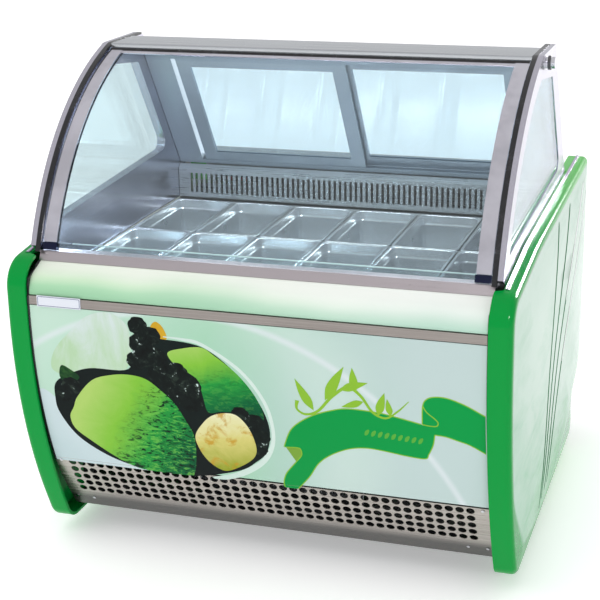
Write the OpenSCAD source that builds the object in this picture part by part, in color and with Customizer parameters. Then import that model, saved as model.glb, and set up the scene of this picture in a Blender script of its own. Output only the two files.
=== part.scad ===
/* [Cabinet] */
// Width between the two moulded side panels
front_w = 1090; // [1090:1:1096]
// Thickness of a side panel at its rim
panel_t = 53; // [50:1:60]
// How far the side panel's face bulges past its rim
panel_dome = 13; // [6:1:16]
// Half of the cabinet's depth
half_depth = 594; // [594:1:600]
// Height of the pan rims above the floor
deck_z = 700; // [696:1:702]
// Height of the top canopy above the floor
top_z = 1205; // [1204:1:1210]

/* [Pans] */
// Pan columns across the cabinet
pan_cols = 6; // [6:1:6]
// Pan length, front to back
pan_l = 325; // [322:1:325]
// Pan width
pan_w = 176; // [170:1:177]
// Pan depth
pan_d = 150; // [100:5:150]
// Distance between pan centres across the cabinet
pan_pitch = 179; // [178.5:0.5:179]

/* [Front glass] */
// Outer radius of the bent front glass
glass_r = 705; // [700:1:708]
// Thickness of the bent front glass
glass_t = 6; // [5:1:6]
// Width of the bars along the glass ends
end_bar_w = 32; // [24:1:40]

/* [Rear doors] */
// Lean of the sliding doors from the vertical
door_lean = 32.75; // [32:0.25:33.5]
// Width of a door's stiles and rails
stile_w = 38; // [30:1:40]

/* [Grilles] */
// Holes along the front grille
grille_cols = 41; // [21:2:41]
// Rows of holes in the front grille
grille_rows = 5; // [3:1:5]
// Diameter of a front grille hole
grille_hole = 20; // [14:1:21]
// Distance between the front grille's holes
grille_pitch = 25; // [25:0.1:25.2]
// Slots in the rear air grille
slot_count = 66; // [40:2:66]
// Distance between the rear air grille's slots
slot_pitch = 15.4; // [15:0.1:15.6]

/* [Castors] */
// Diameter of a castor wheel
wheel_d = 75; // [70:1:76]
// Width of a castor wheel's tread
wheel_w = 25; // [20:1:28]

/* [Hidden] */
eps = 0.01;
gap = 0.5;

// Stations across the width
hw = front_w / 2;
wall_x = hw - 5;
frame_t = 24;
frame_x = wall_x + frame_t;
lip_x = wall_x + 11;
panel_x = hw + 2;
rim_x = panel_x + panel_t;
tub_x = rim_x - 12;

// Glass house
arc_c = [143, 516];
hinge = [-72, 1188.5];
bottom_a = 157.9;
top_a = 108.1;
knob_c = [-15, 1182];
gasket_t = 5.3;
window_r = glass_r - 33;

// Rear doors, measured along and across their leaning plane
door_foot = [372, 806];
door_len = 397;
header_end = 438;
jamb_x = 467;
door_t = 8;
door_lap = 8;
door_ajar = 11;
track_depth = 13;
inner_y = -10.5;
outer_y = 2.5;

// Pan rows, front row first
row_y = [-169.5, 156.5];

// Front: the graphic panel's curve, and the first hole row's upper fold
graphic_r = 1132;
grille_start = [-513, 247];
flat_l = 26;
lower_a = 33;

// Insulated tub
tub_z = 430;
tub_front = -455;
tub_back = 560;
well_front = -350;
well_back = 520;
well_z = tub_z + 50;

// Machine compartment
base_z = 104;
tube_h = 30;
base_front = -395;
base_back = 560;
base_x = 530;
castor_x = 470;
front_castor_y = -262;
rear_castor_y = 400;
trail = 30;
fan_c = [0, -245, 250];
evap_fan_c = [0, 455, 585];
rear_y = 576;

// Side panel outline as corners: depth, height and corner radius, from the lower front round
panel_corners = [[-445, 41, 60], [-594, 367, 1250], [-594, 766, 72], [-522, 774.2, 100],
    [-250, 805, 2200], [402, 823.5, 10], [409, 823.7, 10], [half_depth, 829, 30],
    [half_depth, 215, 110], [424, 150, 34], [466, 92, 60], [438, 41, 34]];
panel_mid = [20, 440];
panel_skin = 8;

// Folded strip that carries the front glass: its face and sill, and its fold down into the well
sill_path = [[-517, 757], [-506, 778], [-501.5, 778]];
fold_path = [[-503, 778], [-478, 778], [-474, 772], [-380, 702], [-345, 702]];

function unit(v) = v / norm(v);

// Points of a round of radius r between the edges a-p and p-b
function corner(a, p, b, r, n) =
    let (u = unit(a - p), v = unit(b - p), half = acos(u * v) / 2, c = p + unit(u + v) * r / sin(half),
        s = p + u * r / tan(half) - c, e = p + v * r / tan(half) - c,
        a0 = atan2(s[1], s[0]), turn = (atan2(e[1], e[0]) - a0 + 540) % 360 - 180)
    [for (i = [0 : n]) c + r * [cos(a0 + turn * i / n), sin(a0 + turn * i / n)]];

// Closed outline through corners of [y, z, r]
function rounded(c, n) =
    let (m = len(c))
    [for (i = [0 : m - 1])
        let (a = c[(i + m - 1) % m], b = c[(i + 1) % m])
        each corner([a[0], a[1]], [c[i][0], c[i][1]], [b[0], b[1]], c[i][2], n)];

// Open path through corners of [y, z, r], its two ends kept sharp
function bent(c, n) =
    [[c[0][0], c[0][1]],
    for (i = [1 : len(c) - 2])
        each corner([c[i - 1][0], c[i - 1][1]], [c[i][0], c[i][1]], [c[i + 1][0], c[i + 1][1]], c[i][2], n),
    [c[len(c) - 1][0], c[len(c) - 1][1]]];

function arc(c, r, a0, a1, n) =
    [for (i = [0 : n])
        let (a = a0 + (a1 - a0) * i / n)
        c + r * [cos(a), sin(a)]];

// Depth and height of a point given across and along the doors' plane
function on_doors(y, z) =
    door_foot + y * [cos(door_lean), sin(door_lean)] + z * [-sin(door_lean), cos(door_lean)];

function left_of(v) = [-v[1], v[0]];

// A path moved sideways by d, to the left of its direction
function beside(p, d) =
    let (m = len(p))
    [for (i = [0 : m - 1])
        let (u = i == 0 ? unit(p[1] - p[0]) : unit(p[i] - p[i - 1]),
            v = i == m - 1 ? u : unit(p[i + 1] - p[i]), w = unit(left_of(u) + left_of(v)))
        p[i] + w * d / (w * left_of(u))];

// The same for a closed outline
function inset(p, d) =
    let (m = len(p))
    [for (i = [0 : m - 1])
        let (u = unit(p[i] - p[(i + m - 1) % m]), v = unit(p[(i + 1) % m] - p[i]),
            w = unit(left_of(u) + left_of(v)))
        p[i] - w * d / (w * left_of(u))];

function backwards(p) = [for (i = [len(p) - 1 : -1 : 0]) p[i]];

function sheet(p, t) = concat(p, backwards(beside(p, t)));

// A depth-height outline drawn along the width from x0 to x1
module across(x0, x1) {
    translate([x0, 0, 0])
        rotate([90, 0, 90])
            linear_extrude(x1 - x0)
                children();
}

module box(lo, hi) {
    translate(lo)
        cube(hi - lo);
}

module tube_between(a, b, r) {
    v = b - a;
    translate(a)
        rotate([0, acos(v[2] / norm(v)), atan2(v[1], v[0])])
            cylinder(h = norm(v), r = r, $fn = 24);
}

// Rounded rectangle with true arcs at its corners
module round_rect(w, l, r) {
    square([w - 2 * r, l], center = true);
    square([w, l - 2 * r], center = true);
    for (x = [-1, 1])
        for (y = [-1, 1])
            translate([x * (w / 2 - r), y * (l / 2 - r)])
                circle(r = r, $fn = 40);
}

module both_sides() {
    children();
    mirror([1, 0, 0])
        children();
}

// ---------------------------------------------------------------- side panels

function panel_outline() = rounded(panel_corners, 8);

// The inner edge stands back beside the glass house's side frames
function inner_edge_x(p) = p[0] > -525 && p[0] < 405 && p[1] > deck_z ? frame_x + 1 : panel_x;

// Rings of the moulding, from its open inner edge round the rim to the middle of its face
function panel_rings(outline) =
    let (round_r = 15, face = inset(outline, round_r))
    concat(
        [[for (p = outline) [inner_edge_x(p), p[0], p[1]]]],
        [for (a = [0 : 22.5 : 90])
            [for (p = inset(outline, round_r * (1 - cos(a))))
                [rim_x - round_r + round_r * sin(a), p[0], p[1]]]],
        [for (s = [0.9, 0.75, 0.5])
            [for (p = face)
                [rim_x + panel_dome * sin(90 * (1 - s * s)), panel_mid[0] + (p[0] - panel_mid[0]) * s,
                    panel_mid[1] + (p[1] - panel_mid[1]) * s]]]);

// Two triangles over four corners
function quad(a, b, c, d) = [[a, b, c], [a, c, d]];

// Quads between ring p and ring q of m points each, by their first points' indices
function band(p, q, m) = [for (i = [0 : m - 1]) each quad(p + i, p + (i + 1) % m, q + (i + 1) % m, q + i)];

// Thin moulding, open towards the cabinet
module side_panel() {
    outline = panel_outline();
    rings = panel_rings(outline);
    m = len(outline);
    top = len(rings) * m;
    lining = inset(outline, panel_skin);
    polyhedron(
        points = concat(
            [for (ring = rings) each ring],
            [for (i = [0 : m - 1]) [inner_edge_x(outline[i]), lining[i][0], lining[i][1]]],
            [for (p = lining) [rim_x - panel_skin, p[0], p[1]]],
            [[rim_x + panel_dome, panel_mid[0], panel_mid[1]]]),
        faces = concat(
            [for (k = [0 : len(rings) - 2]) each band(k * m, (k + 1) * m, m)],
            [for (i = [0 : m - 1]) [top - m + i, top - m + (i + 1) % m, top + 2 * m]],
            band(top, 0, m),
            band(top + m, top, m),
            [[for (i = [m - 1 : -1 : 0]) top + m + i]]));
}

module side_panel_left() {
    color("mediumseagreen")
        mirror([1, 0, 0])
            side_panel();
}

module side_panel_right() {
    color("mediumseagreen")
        side_panel();
}

// Bright strip laid along the top edge of each side panel
module side_trims() {
    top_edge = bent([[-470, 780.8, 1], [-250, 805.3, 2200], [565, 828.3, 1]], 12);
    color("silver")
        both_sides()
            across(rim_x - 32, rim_x - 24)
                polygon(sheet(top_edge, 3));
}

// ---------------------------------------------------------------- glass house

// Outline of a side frame whose front and top edges stand proud by d
function frame_outline(d) =
    concat(
        arc(arc_c, glass_r + 6 + d, 157.3, 106.3, 24),
        bent([[-50, top_z - 6 + d, 1], [140, top_z - 6 + d, 14], concat(on_doors(15, -25), 1)], 4),
        [[on_doors(15, -25)[0], deck_z + 1], [-480, deck_z + 1], [-500, 781]]);

function window_outline() =
    let (top_front = [-72, 1150], top_rear = [99, 1130], low_rear = [273, 863], low_front = [-452, 825])
    concat(
        arc(arc_c, window_r, 152.2, 114, 16),
        corner(arc_c + window_r * [cos(114), sin(114)], top_front, top_rear, 40, 5),
        corner(top_front, top_rear, low_rear, 14, 5),
        corner(top_rear, low_rear, low_front, 24, 6));

module side_frames() {
    color("lightsteelblue")
        both_sides()
            difference() {
                union() {
                    across(wall_x, lip_x)
                        polygon(frame_outline(0));
                    across(lip_x, frame_x)
                        polygon(frame_outline(5));
                }
                across(wall_x - 1, frame_x + 1)
                    polygon(window_outline());
                translate([frame_x - 10, knob_c[0], knob_c[1]])
                    rotate([0, 90, 0])
                        cylinder(h = 12, r = 6.1, $fn = 32);
            }
}

// Double glazing: an inner and an outer pane in each window
module side_glasses() {
    color("lightcyan", 0.4)
        both_sides()
            for (x = [wall_x + 2, frame_x - 6])
                across(x, x + 4)
                    polygon(inset(window_outline(), 0.3));
}

module frame_gaskets() {
    edge = concat(arc(arc_c, glass_r + 6.5, 158.4, 106.3, 28), [[-45, top_z - 5.4], [128, top_z - 5.4]]);
    color("black")
        both_sides()
            across(wall_x - 1, lip_x - 0.3)
                polygon(sheet(edge, gasket_t));
}

// Cap with a flat top, a short fascia turned in over the glass, and a slope down to the rear
module top_canopy() {
    front_y = -66;
    fascia_z = top_z - 12;
    path = bent([[front_y, fascia_z, 1], [front_y, top_z - 1, 3], [67, top_z - 1, 8], [151, 1184, 1]], 5);
    color("gainsboro") {
        across(-wall_x + 1.5, wall_x - 1.5)
            polygon(sheet(path, -2));
        across(-wall_x + 1.5, wall_x - 1.5)
            polygon([
                [front_y + 1, fascia_z],
                [-44, fascia_z],
                [-44, fascia_z + 2],
                [front_y + 1, fascia_z + 2]]);
    }
}

module work_lamp() {
    color("gainsboro")
        difference() {
            box([-470, -20, 1176], [470, 60, top_z - 3.5]);
            box([-466, -16, 1175], [466, 56, 1186]);
        }
    color("white")
        box([-465.5, -15.5, 1176], [465.5, 55.5, 1181]);
}

module canopy_knobs() {
    color("silver")
        both_sides()
            translate([frame_x - 9, knob_c[0], knob_c[1]])
                rotate([0, 90, 0]) {
                    cylinder(h = 12, r = 6, $fn = 32);
                    translate([0, 0, 9.2])
                        cylinder(h = 21.8, r = 14, $fn = 48);
                    translate([0, 0, 14.5])
                        cylinder(h = 7, r = 17, $fn = 48);
                }
}

module front_glass() {
    color("lightcyan", 0.35)
        across(-hw + 11.5, hw - 11.5)
            polygon(concat(
                arc(arc_c, glass_r, bottom_a, top_a, 28),
                arc(arc_c, glass_r - glass_t, top_a, bottom_a, 28)));
}

// Bars over the glass ends, and the round top rail that the glass hangs from
module glass_end_bars() {
    outer = concat(
        arc(arc_c, glass_r + 3.5, bottom_a - 1.6, top_a - 0.4, 28),
        arc(arc_c, glass_r + 0.2, top_a - 0.4, bottom_a - 1.6, 28));
    inner = concat(
        arc(arc_c, glass_r - glass_t - 0.2, bottom_a - 1.6, top_a - 0.4, 28),
        arc(arc_c, glass_r - glass_t - 2.5, top_a - 0.4, bottom_a - 1.6, 28));
    color("silver") {
        both_sides() {
            across(hw - 11 - end_bar_w, hw - 9)
                polygon(outer);
            across(hw - 11 - end_bar_w, hw - 9)
                polygon(inner);
            across(hw - 11.2, hw - 9)
                polygon(concat(
                    arc(arc_c, glass_r + 1, bottom_a - 1.6, top_a - 0.4, 28),
                    arc(arc_c, glass_r - glass_t - 1, top_a - 0.4, bottom_a - 1.6, 28)));
        }
        across(-hw + 9, hw - 9)
            translate(hinge)
                circle(r = 4, $fn = 32);
        across(-hw + 9, hw - 9)
            polygon(concat(
                arc(arc_c, glass_r + 0.2, top_a + 1.2, top_a - 0.5, 4),
                arc(arc_c, glass_r + 2.6, top_a - 0.5, top_a + 1.2, 4)));
    }
}

// Folded corner pieces over the lower glass corners, joined round the glass end
module corner_clamps() {
    plates = concat(
        arc(arc_c, glass_r + 4, bottom_a - 0.1, bottom_a - 1.5, 4),
        arc(arc_c, glass_r - glass_t - 4, bottom_a - 1.5, bottom_a - 0.1, 4));
    slit = concat(
        arc(arc_c, glass_r + 0.2, bottom_a + 0.5, bottom_a - 1.7, 4),
        arc(arc_c, glass_r - glass_t - 0.2, bottom_a - 1.7, bottom_a + 0.5, 4));
    color("midnightblue")
        both_sides() {
            across(hw - 13 - end_bar_w, hw - 8.5)
                difference() {
                    polygon(plates);
                    polygon(slit);
                }
            across(hw - 11.2, hw - 8.5)
                polygon(plates);
        }
}

// ---------------------------------------------------------------- rear doors

module on_door_plane() {
    translate([0, door_foot[0], door_foot[1]])
        rotate([door_lean, 0, 0])
            children();
}

// Two-groove tracks at foot and head, side posts, and the header up to the canopy
module rear_door_tracks() {
    end = wall_x - 1;
    color("slategray")
        on_door_plane() {
            for (z = [0, door_len])
                difference() {
                    box([-end, -track_depth, z], [end, track_depth, z + 14]);
                    for (y = [inner_y, outer_y])
                        box([-jamb_x - gap, y - 0.6, z == 0 ? 5 : z - 1],
                            [jamb_x + gap, y + door_t + 0.6, z == 0 ? 15 : z + 9]);
                }
            for (s = [-1, 1])
                box([min(s * (jamb_x + gap), s * end), -track_depth, 14 - eps],
                    [max(s * (jamb_x + gap), s * end), track_depth, door_len + eps]);
            box([-end, -track_depth, door_len + 14 - eps], [end, track_depth, header_end]);
        }
}

// One sliding door's frame, with a finger recess in the outer face of its outer stile
module door_frame(x0, x1, y, grip_x) {
    z0 = 5.5;
    z1 = door_len + 8.5;
    difference() {
        box([x0, y, z0], [x1, y + door_t, z1]);
        box([x0 + stile_w, y - 1, z0 + stile_w], [x1 - stile_w, y + door_t + 1, z1 - stile_w]);
        box([x0 + stile_w - 8, y + 1.9, z0 + stile_w - 8], [x1 - stile_w + 8, y + 6.1, z1 - stile_w + 8]);
        box([grip_x - 9, y + door_t - 4, 150], [grip_x + 9, y + door_t + 1, 260]);
    }
}

module door_pane(x0, x1, y) {
    box([x0 + stile_w - 7.5, y + 2, 5.5 + stile_w - 7.5],
        [x1 - stile_w + 7.5, y + 6, door_len + 8.5 - stile_w + 7.5]);
}

module door_left_frame() {
    color("slategray")
        on_door_plane()
            door_frame(-jamb_x + door_ajar, door_lap + door_ajar, inner_y, -jamb_x + door_ajar + 15);
}

module door_left_glass() {
    color("lightcyan", 0.4)
        on_door_plane()
            door_pane(-jamb_x + door_ajar, door_lap + door_ajar, inner_y);
}

module door_right_frame() {
    color("slategray")
        on_door_plane()
            door_frame(-door_lap, jamb_x, outer_y, jamb_x - 15);
}

module door_right_glass() {
    color("lightcyan", 0.4)
        on_door_plane()
            door_pane(-door_lap, jamb_x, outer_y);
}

// ---------------------------------------------------------------- front

module glass_rail_strip() {
    color("silver") {
        across(-hw, hw)
            polygon(sheet(sill_path, -2));
        across(-wall_x + 1.5, wall_x - 1.5)
            polygon(sheet(fold_path, -2));
    }
}

module upper_front_panel() {
    path = bent([[-584.5, 693, 1], [-584.5, 728, 50], [-515, 756, 1]], 10);
    color("honeydew")
        across(-hw, hw)
            polygon(sheet(path, -3));
}

module front_mid_strip() {
    color("silver")
        across(-hw, hw)
            polygon([[-588, 670], [-588, 691], [-584.8, 691.5], [-581.5, 691.5], [-581.5, 669.5]]);
}

module front_graphic_panel() {
    c = [-587 + graphic_r, 650];
    color("honeydew")
        across(-hw, hw)
            polygon(concat(arc(c, graphic_r, 179.1, 200.6, 16), arc(c, graphic_r - 4, 200.6, 179.1, 16)));
}

module nameplate() {
    color("silver")
        box([-520, -590.2, 667], [-408, -588.1, 694]);
}

// The grille is folded into one flat for each row of holes
function grille_angle(k) = 25 + 1.6 * k;
function grille_point(k) =
    k == 0
        ? grille_start
        : grille_point(k - 1) + flat_l * [sin(grille_angle(k - 1)), -cos(grille_angle(k - 1))];

module front_grille() {
    low = grille_point(grille_rows);
    path = concat(
        [for (k = [0 : grille_rows]) grille_point(k)],
        [low + 66 * [sin(lower_a), -cos(lower_a)], low + [70, -52]]);
    color("silver")
        difference() {
            across(-hw, hw)
                polygon(sheet(path, 2));
            for (k = [0 : grille_rows - 1]) {
                mid = (grille_point(k) + grille_point(k + 1)) / 2;
                translate([0, mid[0], mid[1]])
                    rotate([90 + grille_angle(k), 0, 0])
                        for (i = [0 : grille_cols - 1])
                            translate([(i - (grille_cols - 1) / 2) * grille_pitch, 0, 0])
                                cylinder(h = 12, d = grille_hole, center = true, $fn = 32);
            }
        }
}

module front_air_guard() {
    color("lightcyan", 0.4)
        box([-wall_x + 2, -358, 704.5], [wall_x - 2, -353, 752]);
}

// ---------------------------------------------------------------- tub

// Foam-filled panels round the well, with fine seams, and the packers beside the glass house
module insulated_tub() {
    seam = 0.2;
    top = deck_z - 1;
    z = well_z + seam;
    color("beige") {
        box([-tub_x, tub_front, tub_z], [tub_x, tub_back, well_z]);
        box([-tub_x, tub_front, z], [tub_x, well_front, top]);
        box([-tub_x, well_back, z], [tub_x, tub_back, top]);
        both_sides() {
            box([wall_x, well_front + seam, z], [tub_x, well_back - seam, top]);
            box([frame_x + 1.5, -400, top + seam], [tub_x, 500, 780]);
        }
    }
}

module tub_liner() {
    t = 1;
    lo = [-wall_x + gap, well_front + gap, well_z + gap];
    hi = [wall_x - gap, well_back - gap, deck_z - 2.5];
    color("silver")
        difference() {
            box(lo, hi);
            box(lo + [t, t, t], hi + [-t, -t, t]);
        }
}

// Rails under the pan rims with bars between them, on legs from the liner floor
module pan_support_frame() {
    top = deck_z - 2.3;
    rail_w = 9;
    rail_h = 16;
    end = wall_x - 3;
    leg = 8;
    seam = 0.15;
    rails = [-338.5, -7.25, 324];
    color("gray") {
        for (y = rails)
            box([-end, y - rail_w / 2, top - rail_h], [end, y + rail_w / 2, top]);
        for (k = [0, 1])
            for (i = [1 : pan_cols - 1])
                translate([(i - pan_cols / 2) * pan_pitch, 0, 0])
                    box([-3, rails[k] + rail_w / 2 + seam, top - rail_h],
                        [3, rails[k + 1] - rail_w / 2 - seam, top - 4]);
        both_sides()
            for (y = rails)
                box([end - leg, y - leg / 2, well_z + 2], [end, y + leg / 2, top - rail_h - seam]);
    }
}

module finned_block(lo, hi, fins, tube_ys, tube_zs, tube_r) {
    pitch = (hi[0] - lo[0]) / (fins - 1);
    for (i = [0 : fins - 1])
        box([lo[0] + i * pitch - 0.4, lo[1], lo[2]], [lo[0] + i * pitch + 0.4, hi[1], hi[2]]);
    for (y = tube_ys)
        for (z = tube_zs)
            translate([lo[0] - 14, y, z])
                rotate([0, 90, 0])
                    cylinder(h = hi[0] - lo[0] + 28, r = tube_r, $fn = 24);
}

// Coil, the baffle behind it, and the fan motor on a strap across the baffle's opening
module evaporator_coil() {
    strap_y = 435;
    color("silver")
        finned_block([-430, 350, 510], [430, 410, 640], 36, [365, 395], [530, 565, 600], 5);
    color("gray")
        difference() {
            box([-430, 425, 490], [430, 427, 680]);
            translate([evap_fan_c[0], 420, evap_fan_c[2]])
                rotate([-90, 0, 0])
                    cylinder(h = 12, r = 82, $fn = 64);
        }
    color("black")
        translate([evap_fan_c[0], 0, evap_fan_c[2]])
            difference() {
                union() {
                    translate([0, strap_y, 0])
                        rotate([-90, 0, 0])
                            cylinder(h = 36, r = 30, $fn = 48);
                    box([-98, strap_y, -8], [98, strap_y + 3, 8]);
                    both_sides()
                        box([86, 427, -8], [98, strap_y + 1, 8]);
                }
                translate([0, strap_y - 1, 0])
                    rotate([-90, 0, 0])
                        cylinder(h = 25, r = 4.05, $fn = 32);
            }
}

module fan_blades(r, hub_r, depth, shaft, shaft_r) {
    intersection() {
        cylinder(h = depth, r = r, $fn = 64);
        for (i = [0 : 4])
            rotate([0, 0, i * 72])
                translate([0, -22, depth / 2])
                    rotate([32, 0, 0])
                        translate([hub_r - 4, -22, -1])
                            cube([r, 44, 2]);
    }
    cylinder(h = depth, r = hub_r, $fn = 48);
    cylinder(h = depth + shaft, r = shaft_r, $fn = 32);
}

module evaporator_fan() {
    color("dimgray")
        translate([evap_fan_c[0], 412.5, evap_fan_c[2]])
            rotate([-90, 0, 0])
                fan_blades(78, 26, 20, 26, 4);
}

// Slotted face sheet, folded back to the door sill
module rear_air_grille() {
    path = [[343, 701], [343, 785], [352, 791.5], [359, 796]];
    slot = [7, 20, 56];
    color("silver")
        difference() {
            across(-wall_x + 1, wall_x - 1)
                polygon(sheet(path, -2));
            for (i = [0 : slot_count - 1])
                translate([(i - (slot_count - 1) / 2) * slot_pitch - slot[0] / 2, 335, 716])
                    cube(slot);
        }
}

module pan(col, row) {
    wall = 1.2;
    rim_t = 2;
    lip = 7;
    translate([(col - (pan_cols - 1) / 2) * pan_pitch, row_y[row], deck_z])
        color("silver")
            difference() {
                union() {
                    translate([0, 0, -pan_d])
                        linear_extrude(pan_d)
                            round_rect(pan_w - 2 * lip, pan_l - 2 * lip, 30);
                    translate([0, 0, -rim_t])
                        linear_extrude(rim_t)
                            round_rect(pan_w, pan_l, 14);
                }
                translate([0, 0, -pan_d + wall])
                    linear_extrude(pan_d)
                        round_rect(pan_w - 2 * lip - 2 * wall, pan_l - 2 * lip - 2 * wall, 30 - wall);
            }
}

// ---------------------------------------------------------------- machine compartment

module wheel_fork(stem) {
    cheek = wheel_w / 2 + 2;
    crown_z = wheel_d + 8;
    color("silver") {
        for (s = [-1, 1])
            hull() {
                translate([s * (cheek + 1.25) - 1.25, trail, wheel_d / 2])
                    rotate([0, 90, 0])
                        cylinder(h = 2.5, r = 11, $fn = 32);
                translate([s * (cheek + 1.25) - 1.25, -16, crown_z - 3])
                    cube([2.5, 44, 3]);
            }
        translate([0, trail, wheel_d / 2])
            rotate([0, 90, 0])
                cylinder(h = 2 * cheek + 12, r = 5, center = true, $fn = 32);
        translate([-cheek - 2.5, -16, crown_z - 3])
            cube([2 * cheek + 5, 44, 3]);
        if (stem)
            translate([0, 0, crown_z - 3])
                cylinder(h = base_z - crown_z + 20, r = 5.95, $fn = 32);
        else
            translate([-cheek - 2.5, -16, crown_z - 3])
                cube([2 * cheek + 5, 44, base_z - crown_z + 4]);
    }
}

module castor_wheel(x, y) {
    r = wheel_d / 2;
    color("dimgray")
        translate([x, y + trail, r])
            rotate([0, 90, 0])
                difference() {
                    union() {
                        cylinder(h = wheel_w - 6, r = r, center = true, $fn = 72);
                        cylinder(h = wheel_w, r = r - 3, center = true, $fn = 72);
                        cylinder(h = wheel_w + 2, r = 11, center = true, $fn = 48);
                    }
                    cylinder(h = wheel_w + 4, r = 5.05, center = true, $fn = 32);
                }
}

module castor_fork_left() {
    translate([-castor_x, front_castor_y, 0])
        wheel_fork(true);
}

module castor_fork_right() {
    translate([castor_x, front_castor_y, 0])
        wheel_fork(true);
}

// Welded frame, its floor plate, the front castor sockets and the fixed rear castor brackets
module base_frame() {
    w = 30;
    color("dimgray")
        difference() {
            union() {
                for (y = [base_front, base_back - w])
                    box([-base_x, y, base_z], [base_x, y + w, base_z + tube_h]);
                for (x = [-base_x, base_x - w])
                    box([x, base_front, base_z], [x + w, base_back, base_z + tube_h]);
                for (x = [-castor_x, castor_x])
                    for (y = [front_castor_y, rear_castor_y])
                        box([x - 48, y - 50, base_z], [x + 48, y + 50, base_z + 8]);
                box([-base_x + w - 5, base_front + w - 5, base_z + tube_h - 3],
                    [base_x - w + 5, base_back - w + 5, base_z + tube_h]);
                for (x = [-base_x, base_x - w])
                    for (y = [base_front, 500])
                        box([x, y, base_z + tube_h - 1], [x + w, y + w, tub_z - gap]);
                for (x = [-castor_x, castor_x])
                    translate([x, rear_castor_y, 0])
                        wheel_fork(false);
            }
            for (x = [-castor_x, castor_x])
                translate([x, front_castor_y, base_z - 1])
                    cylinder(h = tube_h + 2, r = 6, $fn = 32);
        }
}

// Domed shell with a seam bead and a wiring box, on two feet
module compressor() {
    z0 = base_z + tube_h + gap;
    profile = concat(
        [[0, 0], [70, 0]],
        corner([70, 0], [92, 0], [92, 60], 20, 6),
        [[92, 80], [95, 82], [95, 88], [92, 90]],
        corner([92, 90], [92, 190], [0, 190], 60, 10),
        [[0, 190]]);
    color("black")
        translate([-250, 220, z0]) {
            for (x = [-85, 85])
                translate([x - 20, -60, 0])
                    cube([40, 120, 6]);
            translate([0, 0, 4])
                rotate_extrude($fn = 64)
                    polygon(profile);
            translate([60, -38, 60])
                cube([52, 76, 70]);
        }
}

module condenser_coil() {
    color("silver")
        finned_block([-200, -375, 165], [200, -325, 345], 30, [-362, -338], [185, 220, 255, 290, 325], 5);
    color("gray")
        for (x = [-212, 210])
            box([x, -378, base_z + tube_h + gap], [x + 2, -322, 360]);
}

// Shroud sheet with the fan opening, and the motor on its bracket behind it
module fan_shroud() {
    c = fan_c;
    color("gray")
        difference() {
            box([-205, -318, base_z + tube_h + gap], [205, -316, 370]);
            translate([c[0], -325, c[2]])
                rotate([-90, 0, 0])
                    cylinder(h = 12, r = 104, $fn = 72);
        }
    color("black")
        difference() {
            union() {
                translate([c[0], c[1], c[2]])
                    rotate([-90, 0, 0])
                        cylinder(h = 60, r = 38, $fn = 48);
                box([-20, c[1] + 10, base_z + tube_h + gap], [20, c[1] + 50, c[2]]);
            }
            translate([c[0], c[1] - 1, c[2]])
                rotate([-90, 0, 0])
                    cylinder(h = 30, r = 4.05, $fn = 32);
        }
}

module condenser_fan() {
    color("darkorange")
        translate([fan_c[0], -300, fan_c[2]])
            rotate([-90, 0, 0])
                fan_blades(98, 30, 30, 50, 4);
}

// Suction and discharge lines with the filter drier between them
module refrigerant_pipes() {
    r = 4;
    top = tub_z - 6;
    suction = [[-250, 317, 200], [-250, 380, 200], [-250, 380, top]];
    discharge = [[-172, 163, 180], [-90, 150, 180], [-90, -230, 180], [-228, -230, 180], [-228, -338, 185],
        [-218.6, -338, 185]];
    color("peru") {
        for (path = [suction, discharge]) {
            for (i = [0 : len(path) - 2])
                tube_between(path[i], path[i + 1], r);
            for (p = path)
                translate(p)
                    sphere(r = r + 0.1, $fn = 24);
        }
        translate([-90, -120, 180])
            rotate([-90, 0, 0])
                cylinder(h = 110, r = 14, $fn = 32);
    }
}

// ---------------------------------------------------------------- rear

module rear_service_panel() {
    top = door_foot[1] - 4;
    path = [[rear_y, 152], [rear_y, top - 4], [rear_y - 4, top], [door_foot[0], top]];
    color("gainsboro")
        difference() {
            across(-hw - 1, hw + 1)
                polygon(sheet(path, 2));
            both_sides()
                box([wall_x - gap, door_foot[0] - 1, top - 5], [hw + 2, 400, top + 5]);
            for (row = [0 : 9])
                for (x = [-420, -130, 160])
                    box([x, 560, 200 + 24 * row], [x + 260, 590, 208 + 24 * row]);
            box([-505, 560, 655], [-295, 590, 735]);
            box([-424, 560, 159], [-376, 590, 187]);
        }
}

module control_panel() {
    color("dimgray")
        difference() {
            union() {
                box([-515, 576.5, 645], [-285, 582, 745]);
                box([-503, 561, 657], [-297, 578, 733]);
            }
            box([-498, 540, 662], [-302, 572, 728]);
            for (x = [-470, -425])
                box([x - 10.5, 560, 684.5], [x + 10.5, 590, 710.5]);
        }
    color("black")
        box([-395, 581.9, 680], [-315, 584.5, 716]);
}

// Rocker on short pivot stubs, its upper end standing proud
module rocker(x) {
    z = 697.5;
    half_w = 10;
    color("firebrick") {
        box([x - half_w, rear_y - 3, z - 11.5], [x + half_w, rear_y + 6.5, z + 11.5]);
        across(x - half_w, x + half_w)
            polygon([
                [rear_y + 6, z - 11.5],
                [rear_y + 7.5, z - 11.5],
                [rear_y + 9, z],
                [rear_y + 11.5, z + 11.5],
                [rear_y + 6, z + 11.5]]);
        translate([x, rear_y + 1, z])
            rotate([0, 90, 0])
                cylinder(h = 2 * half_w + 0.8, r = 3, center = true, $fn = 32);
    }
}

module power_switch() {
    rocker(-470);
}

module light_switch() {
    rocker(-425);
}

module power_inlet() {
    y = rear_y + 0.3;
    color("black")
        difference() {
            union() {
                box([-430, y, 153], [-370, y + 4, 193]);
                box([-423, y - 20, 160], [-377, y + 2, 186]);
            }
            box([-416, y - 16, 164], [-384, y + 5, 182]);
        }
    color("gold")
        for (x = [-408, -400, -392])
            box([x - 1, y - 16.5, 171], [x + 1, y + 1, 175]);
}

module screw_head(r) {
    difference() {
        cylinder(h = 1.6, r = r, $fn = 32);
        translate([-r, -0.4, 0.8])
            cube([2 * r, 0.8, 2]);
    }
}

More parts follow.
